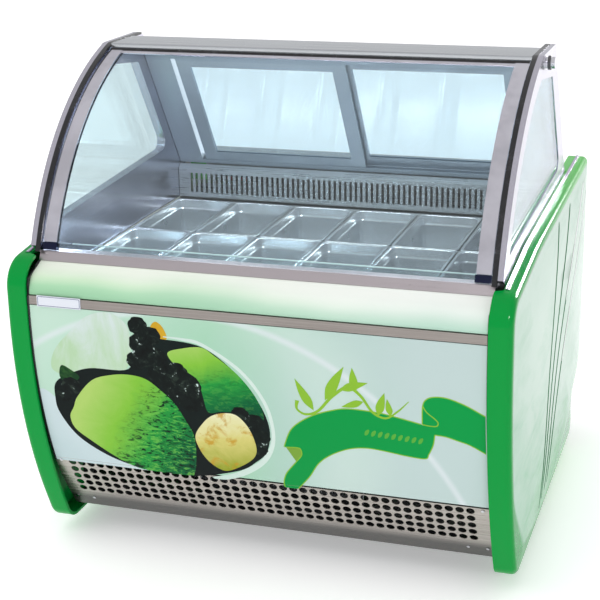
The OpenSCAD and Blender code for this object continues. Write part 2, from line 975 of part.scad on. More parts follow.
module screws() {
    low = grille_point(grille_rows) + 30 * [sin(lower_a), -cos(lower_a)];
    high = grille_point(0) + 8 * [sin(grille_angle(0)), -cos(grille_angle(0))];
    color("silver") {
        both_sides() {
            translate([hw - 16, high[0], high[1]])
                rotate([90 + grille_angle(0), 0, 0])
                    translate([0, 0, 0.1])
                        screw_head(4);
            for (x = [hw - 16, hw - 62])
                translate([x, low[0], low[1]])
                    rotate([90 + lower_a, 0, 0])
                        translate([0, 0, 0.1])
                            screw_head(4);
        }
        for (x = [-530, 0, 530])
            for (z = [170, 480, 770])
                translate([x, rear_y + 0.1, z])
                    rotate([-90, 0, 0])
                        screw_head(5);
    }
}

base_frame();
insulated_tub();
tub_liner();
pan_support_frame();
evaporator_coil();
rear_air_grille();
front_air_guard();
glass_rail_strip();
upper_front_panel();
front_mid_strip();
front_graphic_panel();
front_grille();
nameplate();
side_panel_left();
side_panel_right();
side_trims();
side_frames();
side_glasses();
frame_gaskets();
top_canopy();
work_lamp();
canopy_knobs();
rear_door_tracks();
rear_service_panel();
control_panel();
compressor();
condenser_coil();
fan_shroud();
refrigerant_pipes();
power_inlet();
screws();
pan(0, 0);  // pan_a1
pan(1, 0);  // pan_a2
pan(2, 0);  // pan_a3
pan(3, 0);  // pan_a4
pan(4, 0);  // pan_a5
pan(5, 0);  // pan_a6
pan(0, 1);  // pan_b1
pan(1, 1);  // pan_b2
pan(2, 1);  // pan_b3
pan(3, 1);  // pan_b4
pan(4, 1);  // pan_b5
pan(5, 1);  // pan_b6
front_glass();
glass_end_bars();
corner_clamps();
door_left_frame();
door_left_glass();
door_right_frame();
door_right_glass();
condenser_fan();
evaporator_fan();
power_switch();
light_switch();
castor_fork_left();
castor_fork_right();
castor_wheel(-castor_x, front_castor_y);  // castor_wheel_front_left
castor_wheel(castor_x, front_castor_y);  // castor_wheel_front_right
castor_wheel(-castor_x, rear_castor_y);  // castor_wheel_rear_left
castor_wheel(castor_x, rear_castor_y);  // castor_wheel_rear_right
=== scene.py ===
import math

import bmesh
import bpy
import numpy as np
from mathutils import Matrix, Vector
from mathutils.geometry import delaunay_2d_cdt


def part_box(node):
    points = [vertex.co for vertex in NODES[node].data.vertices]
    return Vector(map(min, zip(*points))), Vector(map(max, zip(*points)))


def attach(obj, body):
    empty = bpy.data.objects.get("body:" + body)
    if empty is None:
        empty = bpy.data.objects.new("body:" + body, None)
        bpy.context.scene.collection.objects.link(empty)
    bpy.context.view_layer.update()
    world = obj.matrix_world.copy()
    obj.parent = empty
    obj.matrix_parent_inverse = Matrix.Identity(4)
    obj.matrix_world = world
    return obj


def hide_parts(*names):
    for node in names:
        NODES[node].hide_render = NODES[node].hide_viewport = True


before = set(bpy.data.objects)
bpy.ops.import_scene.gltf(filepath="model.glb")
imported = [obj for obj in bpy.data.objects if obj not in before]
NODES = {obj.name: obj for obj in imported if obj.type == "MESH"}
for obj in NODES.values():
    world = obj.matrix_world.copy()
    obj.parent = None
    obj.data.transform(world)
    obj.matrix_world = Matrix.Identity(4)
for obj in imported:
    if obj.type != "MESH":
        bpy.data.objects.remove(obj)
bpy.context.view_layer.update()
MM = 0.001
FILM_FOOT = 0.02


# -------- materials


class Shader:
    """One material: a Principled shader and its nodes. Object coordinates are the frame's metres."""

    def __init__(self, name, **values):
        self.material = bpy.data.materials.new(name)
        self.material.use_nodes = True
        self.tree = self.material.node_tree
        self.bsdf = self.tree.nodes["Principled BSDF"]
        self.output = self.tree.nodes["Material Output"]
        for socket, value in values.items():
            self.set(socket.replace("_", " "), value)

    def set(self, socket, value):
        """A constant goes on the shader's own socket, a node's output is linked to it."""
        target = self.bsdf.inputs[socket]
        if isinstance(value, bpy.types.NodeSocket):
            self.tree.links.new(value, target)
        elif target.type == "RGBA":
            target.default_value = (*value, 1.0)
        else:
            target.default_value = value

    def add(self, kind, inputs=None, **settings):
        node = self.tree.nodes.new(kind)
        for key, value in settings.items():
            setattr(node, key, value)
        for key, value in (inputs or {}).items():
            if isinstance(value, bpy.types.NodeSocket):
                self.tree.links.new(value, node.inputs[key])
            elif value is not None:
                node.inputs[key].default_value = value
        return node

    def coords(self, scale=(1, 1, 1), turn=(0, 0, 0)):
        here = self.add("ShaderNodeTexCoord").outputs["Object"]
        return self.add("ShaderNodeMapping", {"Vector": here, "Scale": scale, "Rotation": turn}).outputs[0]

    def axes(self):
        here = self.add("ShaderNodeTexCoord").outputs["Object"]
        return self.add("ShaderNodeSeparateXYZ", {"Vector": here}).outputs

    def noise(self, scale, detail=3.0, stretch=(1, 1, 1), rough=0.55, twist=0.0):
        node = self.add("ShaderNodeTexNoise", {"Vector": self.coords(stretch), "Scale": scale,
            "Detail": detail, "Roughness": rough, "Distortion": twist})
        return node.outputs["Fac"]

    def times(self, a, b):
        return self.math("MULTIPLY", a, b)

    def plus(self, a, b, clamp=False):
        return self.math("ADD", a, b, clamp)

    def minus(self, a, b):
        return self.math("SUBTRACT", a, b)

    def math(self, operation, a, b=0.0, clamp=False):
        return self.add("ShaderNodeMath", {0: a, 1: b}, operation=operation, use_clamp=clamp).outputs[0]

    def span(self, value, lo, hi, to_lo=0.0, to_hi=1.0):
        """value taken from lo..hi to to_lo..to_hi with soft ends."""
        node = self.add("ShaderNodeMapRange", {"Value": value, "From Min": lo, "From Max": hi,
            "To Min": to_lo, "To Max": to_hi}, interpolation_type="SMOOTHSTEP")
        return node.outputs["Result"]

    def ramp(self, value, *stops):
        """Stops as (place, red, green, blue), the colours in 0..255."""
        node = self.add("ShaderNodeValToRGB", {"Fac": value})
        marks = node.color_ramp.elements
        while len(marks) < len(stops):
            marks.new(0.5)
        for mark, (place, *colour) in zip(marks, stops):
            mark.position = place
            mark.color = (*srgb(*colour), 1.0)
        return node.outputs["Color"]

    def mix(self, share, a, b, how="MIX"):
        node = self.add("ShaderNodeMix", data_type="RGBA", blend_type=how)
        for socket, value in ((node.inputs[0], share), (node.inputs[6], a), (node.inputs[7], b)):
            if isinstance(value, bpy.types.NodeSocket):
                self.tree.links.new(value, socket)
            else:
                socket.default_value = (*value, 1.0) if isinstance(value, tuple) else value
        return node.outputs[2]

    def colour(self, share, a, b):
        self.set("Base Color", self.mix(share, a, b))

    def rough(self, *values):
        self.set("Roughness", self.span(*values))

    def bump(self, height, strength, distance=0.001):
        node = self.add("ShaderNodeBump", {"Height": height, "Strength": strength, "Distance": distance})
        self.set("Normal", node.outputs[0])


def srgb(r, g, b):
    """A colour in 0..255 as the linear values that the shaders take."""
    return tuple(c / 12.92 if c <= 0.04045 else ((c + 0.055) / 1.055) ** 2.4 for c in (r / 255, g / 255,
        b / 255))


def shade(colour, share, add=0.0):
    return tuple(c * share + add for c in colour)


def brushed_steel(name, colour, rough, grain=(3, 500, 500), streaks=0.35, metal=1.0):
    """Brushed sheet: fine lines along one axis, broad smudges, and soft roughness changes."""
    s = Shader(name, Metallic=metal)
    lines = s.noise(1.0, 4.0, grain, 0.6)
    smudges = s.noise(7.0, 4.0, (1, 1, 1), 0.6, 0.6)
    dark = shade(colour, 1 - streaks)
    s.colour(s.span(lines, 0.3, 0.72), dark, s.mix(smudges, colour, shade(colour, 0.86)))
    s.rough(s.plus(lines, s.times(smudges, 0.5)), 0.4, 1.1, rough * 0.7, rough * 1.35)
    s.bump(lines, 0.01, 0.0002)
    return s.material


def drawn_steel(name, colour, rough):
    """Deep-drawn sheet: smooth, with faint smudges and water marks."""
    s = Shader(name, Metallic=0.85)
    smudges = s.noise(14.0, 4.0, (1, 1, 1), 0.6, 0.6)
    marks = s.noise(55.0, 3.0, (1, 1, 0.5))
    s.colour(s.span(smudges, 0.3, 0.7), colour, shade(colour, 0.9))
    s.rough(s.plus(smudges, s.times(marks, 0.3)), 0.4, 0.9, rough * 0.85, rough * 1.15)
    return s.material


def polished_metal(name, colour, rough=0.08):
    s = Shader(name, Metallic=1.0)
    wear = s.noise(60.0, 5.0, (1, 1, 1), 0.65)
    film = s.noise(9.0, 3.0)
    s.colour(s.span(film, 0.35, 0.7), colour, shade(colour, 0.82))
    s.rough(wear, 0.35, 0.75, rough * 0.6, rough * 1.8)
    s.bump(wear, 0.03, 0.0003)
    return s.material


def moulded_plastic(name, colour, rough, grain=900.0, coat=0.0):
    s = Shader(name, Coat_Weight=coat, Coat_Roughness=0.08)
    peel = s.noise(grain, 2.0)
    patch = s.noise(12.0, 3.0)
    s.colour(s.span(patch, 0.3, 0.7), colour, shade(colour, 0.85))
    s.rough(peel, 0.3, 0.7, rough * 0.8, rough * 1.2)
    s.bump(peel, 0.15, 0.0003)
    return s.material


def clear_glass(name, tint, gloss=0.03):
    """Thin clear sheet with a mirror on top that grows towards grazing views, and a wiping film."""
    s = Shader(name)
    nodes, links = s.tree.nodes, s.tree.links
    film = s.noise(5.0, 4.0, (1, 1, 2), 0.6, 0.8)
    through = s.add("ShaderNodeBsdfTransparent")
    colour = s.mix(s.span(film, 0.3, 0.7), tint, shade(tint, 0.985))
    links.new(colour, through.inputs["Color"])
    mirror = s.add("ShaderNodeBsdfGlossy", {"Color": (0.95, 0.98, 1.0, 1.0)})
    links.new(s.span(film, 0.3, 0.8, gloss * 0.5, gloss * 1.6), mirror.inputs["Roughness"])
    facing = s.add("ShaderNodeLayerWeight", {"Blend": 0.5}).outputs["Facing"]
    share = s.plus(s.times(s.math("POWER", facing, 5.0), 0.85), 0.035)
    both = s.add("ShaderNodeMixShader")
    links.new(share, both.inputs[0])
    links.new(through.outputs[0], both.inputs[1])
    links.new(mirror.outputs[0], both.inputs[2])
    nodes.remove(s.bsdf)
    links.new(both.outputs[0], s.output.inputs["Surface"])
    return s.material


def rubber(name, colour, rough=0.35):
    s = Shader(name)
    grain = s.noise(1500.0, 2.0)
    dust = s.noise(25.0, 5.0, (1, 1, 1), 0.7)
    s.colour(s.span(dust, 0.45, 0.8), colour, shade(colour, 2.2, 0.01))
    s.rough(dust, 0.3, 0.8, rough * 0.8, rough * 1.5)
    s.bump(grain, 0.2, 0.0002)
    return s.material


def painted(name, colour, rough=0.4):
    s = Shader(name, Coat_Weight=0.2)
    peel = s.noise(260.0, 3.0)
    dust = s.noise(14.0, 5.0, (1, 1, 1), 0.65)
    s.colour(s.span(dust, 0.4, 0.75), colour, shade(colour, 1.5, 0.01))
    s.rough(dust, 0.3, 0.8, rough * 0.8, rough * 1.4)
    s.bump(peel, 0.2, 0.0004)
    return s.material


def dress(material, *nodes):
    """The CAD nodes take this material."""
    for name in nodes:
        slots = NODES[name].data.materials
        slots.clear()
        slots.append(material)


# -------- meshes


def put(name, data):
    """A new object in the scene."""
    made = bpy.data.objects.new(name, data)
    bpy.context.scene.collection.objects.link(made)
    return made


def new_piece(name, verts, faces, material, slot, smooth=35.0, body="cabinet"):
    mesh = bpy.data.meshes.new(name)
    mesh.from_pydata([tuple(v) for v in verts], [], [tuple(f) for f in faces])
    mesh.validate()
    piece = put(name, mesh)
    finish_mesh(mesh, smooth)
    mesh.materials.append(material)
    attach(piece, body)
    return piece


def finish_mesh(mesh, smooth):
    """Faces turned outwards, smooth shading, and sharp edges past the smooth angle."""
    work = bmesh.new()
    work.from_mesh(mesh)
    bmesh.ops.remove_doubles(work, verts=work.verts, dist=1e-7)
    bmesh.ops.recalc_face_normals(work, faces=work.faces)
    for face in work.faces:
        face.smooth = True
    for edge in work.edges:
        if len(edge.link_faces) == 2 and edge.calc_face_angle(0.0) > math.radians(smooth):
            edge.smooth = False
    work.to_mesh(mesh)
    work.free()


def ring_faces(count, size, closed=True):
    """Quads between count rings of size points each."""
    faces = []
    for k in range(count - 1):
        for i in range(size if closed else size - 1):
            j = (i + 1) % size
            faces.append((k * size + i, k * size + j, (k + 1) * size + j, (k + 1) * size + i))
    return faces


def capped(count, size):
    """Rings joined to a tube with both ends closed."""
    last = (count - 1) * size
    return ring_faces(count, size) + [tuple(range(size)), tuple(range(last, last + size))]


def round_rect(w, l, r, n=8):
    """Points of a rounded rectangle, anticlockwise."""
    points = []
    for quarter, (sx, sy) in enumerate(((1, 1), (-1, 1), (-1, -1), (1, -1))):
        for i in range(n + 1):
            a = math.radians(90 * quarter + 90 * i / n)
            points.append((sx * (w / 2 - r) + r * math.cos(a), sy * (l / 2 - r) + r * math.sin(a)))
    return points


def column(items, key, width, kind=float):
    """One property of all items as an array."""
    values = np.empty(len(items) * width, kind)
    items.foreach_get(key, values)
    return values.reshape(-1, width) if width > 1 else values


def soften(node, angle=28.0):
    """Corner normals averaged over near faces within the angle, so a faceted bend reflects smoothly."""
    mesh = NODES[node].data
    count = len(mesh.loops)
    corner_vert = column(mesh.loops, "vertex_index", 1, np.int64)
    place = column(mesh.vertices, "co", 3)
    normal = column(mesh.polygons, "normal", 3)
    start = column(mesh.polygons, "loop_start", 1, np.int64)
    total = column(mesh.polygons, "loop_total", 1, np.int64)
    face = np.repeat(np.arange(len(total)), total)
    step = np.arange(count) - start[face]
    ahead = start[face] + (step + 1) % total[face]
    behind = start[face] + (step - 1) % total[face]
    here = place[corner_vert]
    a = place[corner_vert[ahead]] - here
    b = place[corner_vert[behind]] - here
    a /= np.maximum(np.linalg.norm(a, axis=1, keepdims=True), 1e-12)
    b /= np.maximum(np.linalg.norm(b, axis=1, keepdims=True), 1e-12)
    weight = np.arccos(np.clip((a * b).sum(axis=1), -1, 1))
    groups = {}
    for loop, key in enumerate(map(tuple, np.round(here, 6))):
        groups.setdefault(key, []).append(loop)
    limit = math.cos(math.radians(angle))
    result = np.empty((count, 3))
    for loops in groups.values():
        loops = np.array(loops)
        n = normal[face[loops]]
        near = (n @ n.T) > limit
        result[loops] = near @ (n * weight[loops, None])
    result /= np.maximum(np.linalg.norm(result, axis=1, keepdims=True), 1e-12)
    mesh.polygons.foreach_set("use_smooth", np.ones(len(total), bool))
    mesh.normals_split_custom_set([tuple(v) for v in result])


# -------- camera, floor and light

CAMERA_PLACE = (1.08984, -3.52183, 1.75695)
YAW, PITCH, ROLL = math.radians(18.1358), math.radians(18.0410), math.radians(-1.0582)


def photo_camera():
    forward = Vector((-math.sin(YAW) * math.cos(PITCH), math.cos(YAW) * math.cos(PITCH), -math.sin(PITCH)))
    right = Vector((math.cos(YAW), math.sin(YAW), 0))
    up = right.cross(forward)
    x = math.cos(ROLL) * right + math.sin(ROLL) * up
    y = -math.sin(ROLL) * right + math.cos(ROLL) * up
    data = bpy.data.cameras.new("camera")
    data.lens = 88.73
    data.sensor_width = 36
    data.shift_x = -0.0009
    data.shift_y = -0.0109
    data.clip_end = 200
    camera = put("camera", data)
    turn = Matrix((x, y, -forward)).transposed().to_4x4()
    camera.matrix_world = Matrix.Translation(CAMERA_PLACE) @ turn
    bpy.context.scene.camera = camera


def area_light(name, place, size, watts):
    data = bpy.data.lights.new(name, "AREA")
    data.shape = "RECTANGLE"
    data.size, data.size_y = size
    data.energy = watts
    lamp = put(name, data)
    lamp.location = place
    lamp.visible_camera = False
    return lamp


def softbox(name, place, aim, size, watts):
    """A light that only shows as a highlight."""
    lamp = area_light(name, place, size, watts)
    lamp.rotation_euler = (Vector(aim) - Vector(place)).to_track_quat("-Z", "Y").to_euler()
    lamp.visible_diffuse = False


def lamp_glow(name, place, size, watts):
    """Downward light inside the glass house."""
    area_light(name, place, size, watts).data.color = (0.93, 0.97, 1.0)


def studio():
    s = Shader("studio_floor", Roughness=0.95, Specular_IOR_Level=0.1, Emission_Color=(1.0, 1.0, 1.0),
        Emission_Strength=0.34)
    s.colour(s.noise(0.6, 2.0), srgb(252, 252, 252), srgb(249, 250, 250))
    mesh = bpy.data.meshes.new("studio_floor")
    reach = 60
    corners = [(-reach, -reach, 0), (reach, -reach, 0), (reach, reach, 0), (-reach, reach, 0)]
    mesh.from_pydata(corners, [], [(0, 1, 2, 3)])
    mesh.materials.append(s.material)
    floor = put("studio_floor", mesh)

    world = bpy.data.worlds.new("studio")
    bpy.context.scene.world = world
    world.use_nodes = True
    tree = world.node_tree
    back = tree.nodes["Background"]
    place = tree.nodes.new("ShaderNodeTexCoord")
    split = tree.nodes.new("ShaderNodeSeparateXYZ")
    ramp = tree.nodes.new("ShaderNodeValToRGB")
    marks = ramp.color_ramp.elements
    marks[0].position, marks[0].color = 0.0, (0.93, 0.95, 0.98, 1)
    marks[1].position, marks[1].color = 0.7, (1.0, 1.0, 1.0, 1)
    tree.links.new(place.outputs["Generated"], split.inputs[0])
    tree.links.new(split.outputs["Z"], ramp.inputs[0])
    tree.links.new(ramp.outputs[0], back.inputs["Color"])
    back.inputs["Strength"].default_value = 0.72

    sun = bpy.data.lights.new("sun", "SUN")
    sun.energy = 0.75
    sun.angle = math.radians(55)
    lamp = put("sun", sun)
    lamp.rotation_euler = Vector((0.4, 0.45, -1.2)).to_track_quat("-Z", "Y").to_euler()
    lamp.visible_glossy = False
    softbox("rim_softbox", (2.3, -3.6, 3.1), (0.55, -0.5, 0.75), (0.7, 0.35), 90)
    softbox("shoulder_softbox", (2.2, 3.0, 1.9), (0.58, -0.4, 0.79), (1.3, 0.9), 420)
    lamp_glow("left_glow", (-0.25, 0.02, 1.165), (0.46, 0.07), 1.8)
    lamp_glow("right_glow", (0.25, 0.02, 1.165), (0.46, 0.07), 1.8)

    scene = bpy.context.scene
    scene.view_settings.view_transform = "Standard"
    scene.cycles.transparent_max_bounces = 24
    scene.cycles.max_bounces = 10
    scene.cycles.diffuse_bounces = 5
    scene.cycles.glossy_bounces = 6


# -------- materials of the CAD nodes

COOL_STEEL = srgb(205, 208, 212)

canopy_steel = brushed_steel("canopy_sheet", COOL_STEEL, 0.22, (3, 600, 600), 0.2)
strip_steel = brushed_steel("strip_sheet", srgb(168, 160, 155), 0.38)
liner_steel = brushed_steel("liner_sheet", srgb(206, 212, 216), 0.3, (4, 300, 300), 0.15, 0.8)
pan_steel = drawn_steel("pan_steel", srgb(222, 226, 229), 0.24)
plate_steel = brushed_steel("side_plate", srgb(206, 203, 216), 0.2, (400, 4, 400), 0.15)
fins = brushed_steel("coil_fins", srgb(196, 200, 204), 0.35, (6, 200, 900), 0.4)
zinc = brushed_steel("zinc_sheet", srgb(176, 180, 184), 0.4, (40, 40, 40), 0.35)
chrome = polished_metal("bright_trim", srgb(222, 222, 228))
bar_metal = polished_metal("bar_metal", srgb(214, 212, 222), 0.14)
clamp_metal = polished_metal("clamp_metal", srgb(44, 48, 72), 0.1)
door_metal = brushed_steel("door_metal", srgb(160, 172, 184), 0.42, (6, 400, 400), 0.12, 0.6)
glass = clear_glass("clear_sheet", (0.93, 0.965, 0.97))
door_glass = clear_glass("door_sheet", (0.8, 0.885, 0.93))
guard_glass = clear_glass("guard_sheet", (0.94, 0.98, 0.98))
gasket = rubber("gasket_rubber", (0.008, 0.008, 0.01), 0.22)
tread = rubber("wheel_tread", (0.035, 0.036, 0.038), 0.55)
foam_shell = moulded_plastic("tub_shell", srgb(226, 224, 214), 0.5)
dark_plastic = moulded_plastic("dark_plastic", srgb(44, 46, 50), 0.42)
fan_plastic = moulded_plastic("fan_plastic", srgb(58, 60, 64), 0.45)
red_plastic = moulded_plastic("switch_plastic", srgb(176, 26, 20), 0.25, coat=0.5)
compressor_paint = painted("compressor_paint", srgb(32, 33, 36), 0.35)
frame_paint = painted("frame_paint", srgb(58, 60, 64), 0.45)
copper = polished_metal("copper_pipe", srgb(206, 132, 92), 0.3)


def grille_sheet():
    """The folded grille: brushed above, and coloured darker along the lower fold as painted shade and
    reflection, where the fold faces down.
    """
    s = Shader("grille_sheet", Metallic=1.0)
    lines = s.noise(1.0, 4.0, (3, 500, 500), 0.6)
    _, _, z = s.axes()
    steel = s.mix(s.span(lines, 0.3, 0.72), srgb(164, 157, 151), srgb(198, 192, 186))
    # Painted shade and reflection: below about 0.12 m the grille is coloured darker.
    s.colour(s.span(z, 0.104, 0.14), srgb(108, 107, 105), steel)
    s.rough(lines, 0.3, 0.75, 0.24, 0.4)
    return s.material


def glossy_print(name):
    """A shader for printed, clear-coated sheet."""
    return Shader(name, Roughness=0.4, Specular_IOR_Level=0.06, Coat_Weight=0.1, Coat_Roughness=0.05)


def upper_panel_print():
    """White along the top, pale mint below, with a soft lighter cloud to the right; the white top band is
    partly the print's own gradient and partly painted highlight.
    """
    s = glossy_print("upper_panel_print")
    x, _, z = s.axes()
    lo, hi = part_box("upper_front_panel")
    cloud = s.noise(2.2, 2.0, (1, 1, 0.6))
    height = s.span(s.plus(z, s.times(s.minus(cloud, 0.5), 0.05)), lo.z, hi.z)
    rise = s.span(x, lo.x, hi.x)
    # The white top of these ramps is partly print and partly painted highlight.
    left = s.ramp(height, (0.0, 158, 208, 168), (0.35, 176, 222, 182), (0.7, 214, 240, 208),
        (1.0, 246, 252, 238))
    right = s.ramp(height, (0.0, 188, 222, 204), (0.35, 214, 234, 222), (0.7, 238, 247, 240),
        (1.0, 250, 253, 248))
    s.colour(rise, left, right)
    return s.material


def ring_glow(s, x, z, centre, radius, width):
    """1 on a circle's line and falling softly to 0 beside it."""
    dx = s.minus(x, centre[0])
    dz = s.minus(z, centre[1])
    far = s.math("SQRT", s.plus(s.times(dx, dx), s.times(dz, dz)))
    off = s.math("ABSOLUTE", s.minus(far, radius))
    return s.span(off, 0.0, width, 1.0, 0.0)


def graphic_ground():
    """The print's mint ground, greener on the left and greyer on the right, with two faint white arcs."""
    s = glossy_print("graphic_ground")
    x, _, z = s.axes()
    cloud = s.noise(2.4, 3.0, (1, 1, 1.4))
    across = s.span(s.plus(x, s.times(s.minus(cloud, 0.5), 0.3)), -0.5, 0.45)
    ground = s.ramp(across, (0.0, 186, 220, 200), (0.45, 168, 212, 184), (0.75, 182, 210, 200),
        (1.0, 194, 212, 210))
    arc = ring_glow(s, x, z, (-0.16, -0.02), 0.70, 0.014)
    haze = ring_glow(s, x, z, (-0.2, 0.36), 0.42, 0.16)
    lit = s.mix(s.times(haze, 0.3), ground, srgb(224, 240, 230))
    s.colour(s.times(arc, 0.65), lit, srgb(226, 232, 236))
    return s.material


def moulding_green():
    """Side moulding: green rim, and a pale mottled face that turns greener towards the bottom; the pale
    mottled face is partly the moulding's own pale tone and partly painted reflection of the bright studio.
    """
    s = Shader("side_moulding", Specular_IOR_Level=0.06, Coat_Weight=0.16, Coat_Roughness=0.04)
    _, y, z = s.axes()
    into = s.add("ShaderNodeAttribute", attribute_name="into").outputs["Fac"]
    # Partly painted reflection: the pale, mottled and streaky face fading to green towards the bottom is
    # partly the moulding's own tone and partly reflected studio light painted in.
    blotch = s.noise(3.0, 5.0, (1, 1, 1.6), 0.62, 0.5)
    streak = s.noise(1.6, 4.0, (1, 2.2, 9), 0.6, 0.9)
    low = s.span(z, 0.42, 0.02)
    amount = s.plus(s.times(low, 0.55), s.times(s.minus(blotch, 0.45), 1.1))
    amount = s.plus(amount, s.times(s.minus(streak, 0.5), 0.7), clamp=True)
    face = s.ramp(amount, (0.0, 188, 214, 198), (0.35, 164, 202, 178), (0.7, 124, 187, 142),
        (1.0, 72, 170, 98))
    rim = s.mix(s.span(y, -0.3, 0.5), srgb(0, 152, 62), srgb(96, 196, 92))
    lower_front = s.times(s.span(z, 0.3, 0.05), s.span(y, -0.1, -0.45))
    start = s.plus(s.times(lower_front, 0.05), 0.021)
    edge = s.span(s.math("DIVIDE", into, start), 0.75, 1.15)
    s.colour(edge, rim, face)
    s.rough(blotch, 0.3, 0.7, 0.16, 0.24)
    s.bump(s.noise(220.0, 2.0), 0.04, 0.0003)
    return s.material


def nameplate_metal():
    s = Shader("plate_metal", Metallic=0.75)
    lines = s.noise(1.0, 3.0, (4, 700, 700))
    s.colour(lines, srgb(206, 210, 222), srgb(232, 234, 240))
    s.rough(lines, 0.3, 0.7, 0.28, 0.42)
    return s.material


def dress_cad():
    dress(frame_paint, "base_frame")
    dress(foam_shell, "insulated_tub")
    dress(liner_steel, "tub_liner", "pan_support_frame", "rear_air_grille")
    dress(fins, "evaporator_coil", "condenser_coil")
    dress(guard_glass, "front_air_guard")
    dress(grille_sheet(), "front_grille")
    dress(brushed_steel("rail_sheet", srgb(198, 189, 193), 0.34, (2, 700, 700), 0.08), "glass_rail_strip")
    dress(upper_panel_print(), "upper_front_panel")
    dress(strip_steel, "front_mid_strip")
    dress(graphic_ground(), "front_graphic_panel")
    dress(nameplate_metal(), "nameplate")
    dress(chrome, "side_trims", "canopy_knobs", "screws", "castor_fork_left", "castor_fork_right")
    dress(plate_steel, "side_frames")
    dress(glass, "side_glasses", "front_glass")
    dress(gasket, "frame_gaskets")
    dress(canopy_steel, "top_canopy")
    dress(brushed_steel("lamp_metal", srgb(216, 220, 224), 0.3), "work_lamp")
    dress(door_metal, "rear_door_tracks", "door_left_frame", "door_right_frame")
    dress(brushed_steel("rear_sheet", srgb(198, 200, 202), 0.34, (3, 500, 500), 0.2), "rear_service_panel")
    dress(dark_plastic, "control_panel", "power_inlet")
    dress(compressor_paint, "compressor")
    dress(zinc, "fan_shroud")
    dress(copper, "refrigerant_pipes")
    dress(bar_metal, "glass_end_bars")
    dress(clamp_metal, "corner_clamps")
    dress(door_glass, "door_left_glass", "door_right_glass")
    dress(fan_plastic, "condenser_fan", "evaporator_fan")
    dress(red_plastic, "power_switch", "light_switch")
    dress(tread, *[f"castor_wheel_{end}_{side}" for end in ("front", "rear") for side in ("left", "right")])


def soften_bends():
    for node in ("front_glass", "glass_end_bars", "corner_clamps", "frame_gaskets", "side_frames",
            "upper_front_panel", "front_graphic_panel", "front_mid_strip", "top_canopy", "glass_rail_strip",
            "side_trims", "side_glasses", "rear_air_grille", "canopy_knobs", "compressor",
            "refrigerant_pipes"):
        soften(node)


# -------- pans


def pan_mesh():
    """A pan about its rim's middle: rolled rim, stacking step, tapered walls and rounded floor."""
    lo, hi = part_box("pan_a1")
    w, l, d = hi.x - lo.x, hi.y - lo.y, hi.z - lo.z
    skin, dish = 0.9 * MM, 0.4 * MM
    inside = [(0.4, -2.3, 14), (0.0, -1.6, 14), (0.1, -0.7, 14), (0.6, -0.1, 14), (1.4, 0.0, 13.5),
        (6.4, 0.0, 27), (7.2, -0.3, 27), (8.0, -1.2, 27), (8.3, -2.6, 27), (8.6, -22, 27), (9.1, -24, 27),
        (10.0, -25.5, 27), (10.2, -28, 27)]
    depth = d / MM
    inside += [(10.2 + 3.3 * t, -28 - (depth - 44) * t, 27) for t in (0.25, 0.5, 0.75, 1.0)]
    round_r = 14.0
    for i in range(1, 7):
        a = math.radians(15 * i)
        inside.append((13.5 + round_r * (1 - math.cos(a)), -depth + 16 - round_r * math.sin(a),
            27 + 4 * math.sin(a)))
    rings = []
    for off, z, r in inside:
        rings.append([(x, y, z * MM) for x, y in round_rect(w - 2 * off * MM, l - 2 * off * MM,
            max(r - off, 6) * MM)])
    floor_z = rings[-1][0][2]
    for share in (0.8, 0.55, 0.3):
        rings.append([(x * share, y * share, floor_z - dish * (1 - share)) for x, y,
            _ in rings[len(inside) - 1]])
    size = len(rings[0])
    verts = [p for ring in rings for p in ring]
    faces = ring_faces(len(rings), size)
    tip = len(verts)
    verts.append((0, 0, floor_z - dish))
    last = (len(rings) - 1) * size
    faces += [(last + i, last + (i + 1) % size, tip) for i in range(size)]
    mesh = bpy.data.meshes.new("pan")
    mesh.from_pydata(verts, [], faces)
    mesh.materials.append(pan_steel)
    work = bmesh.new()
    work.from_mesh(mesh)
    bmesh.ops.recalc_face_normals(work, faces=work.faces)
    if sum(f.normal.z * f.calc_area() for f in work.faces) < 0:
        bmesh.ops.reverse_faces(work, faces=work.faces)
    bmesh.ops.solidify(work, geom=work.faces, thickness=skin)
    bmesh.ops.recalc_face_normals(work, faces=work.faces)
    for face in work.faces:
        face.smooth = True
    work.to_mesh(mesh)
    work.free()
    return mesh


def pans():
    mesh = pan_mesh()
    for row in "ab":
        for col in range(1, 7):
            node = f"pan_{row}{col}"
            lo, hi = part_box(node)
            pan = put(f"drawn_{node}", mesh)
            pan.location = ((lo.x + hi.x) / 2, (lo.y + hi.y) / 2, hi.z)
            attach(pan, node)
            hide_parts(node)


# -------- side mouldings

# Corners of the side panel's outline: depth, height and corner radius in millimetres
OUTLINE = [(-445, 41, 60), (-594, 367, 1250), (-594, 766, 72), (-522, 774.2, 100), (-250, 805, 2200),
    (402, 823.5, 10), (409, 823.7, 10), (594, 829, 30), (594, 215, 110), (424, 150, 34), (466, 92, 60),
    (438, 41, 34)]
FACE_MIDDLE = np.array((0.020, 0.440))
RIM_X = 0.600
RIM_ROUND = 0.015
DOME = 0.0124
PANEL_SKIN = 0.008


def unit(v):
    return v / np.linalg.norm(v)


def rounded_outline(corners, n):
    points = []
    for i, (y, z, r) in enumerate(corners):
        p = np.array((y, z)) * MM
        u = unit(np.array(corners[i - 1][:2]) * MM - p)
        v = unit(np.array(corners[(i + 1) % len(corners)][:2]) * MM - p)
        half = math.acos(u @ v) / 2
        r *= MM
        centre = p + unit(u + v) * r / math.sin(half)
        s = p + u * r / math.tan(half) - centre
        e = p + v * r / math.tan(half) - centre
        start = math.atan2(s[1], s[0])
        turn = (math.atan2(e[1], e[0]) - start + 3 * math.pi) % (2 * math.pi) - math.pi
        points += [centre + r * np.array((math.cos(start + turn * k / n), math.sin(start + turn * k / n)))
            for k in range(n + 1)]
    return np.array(points)


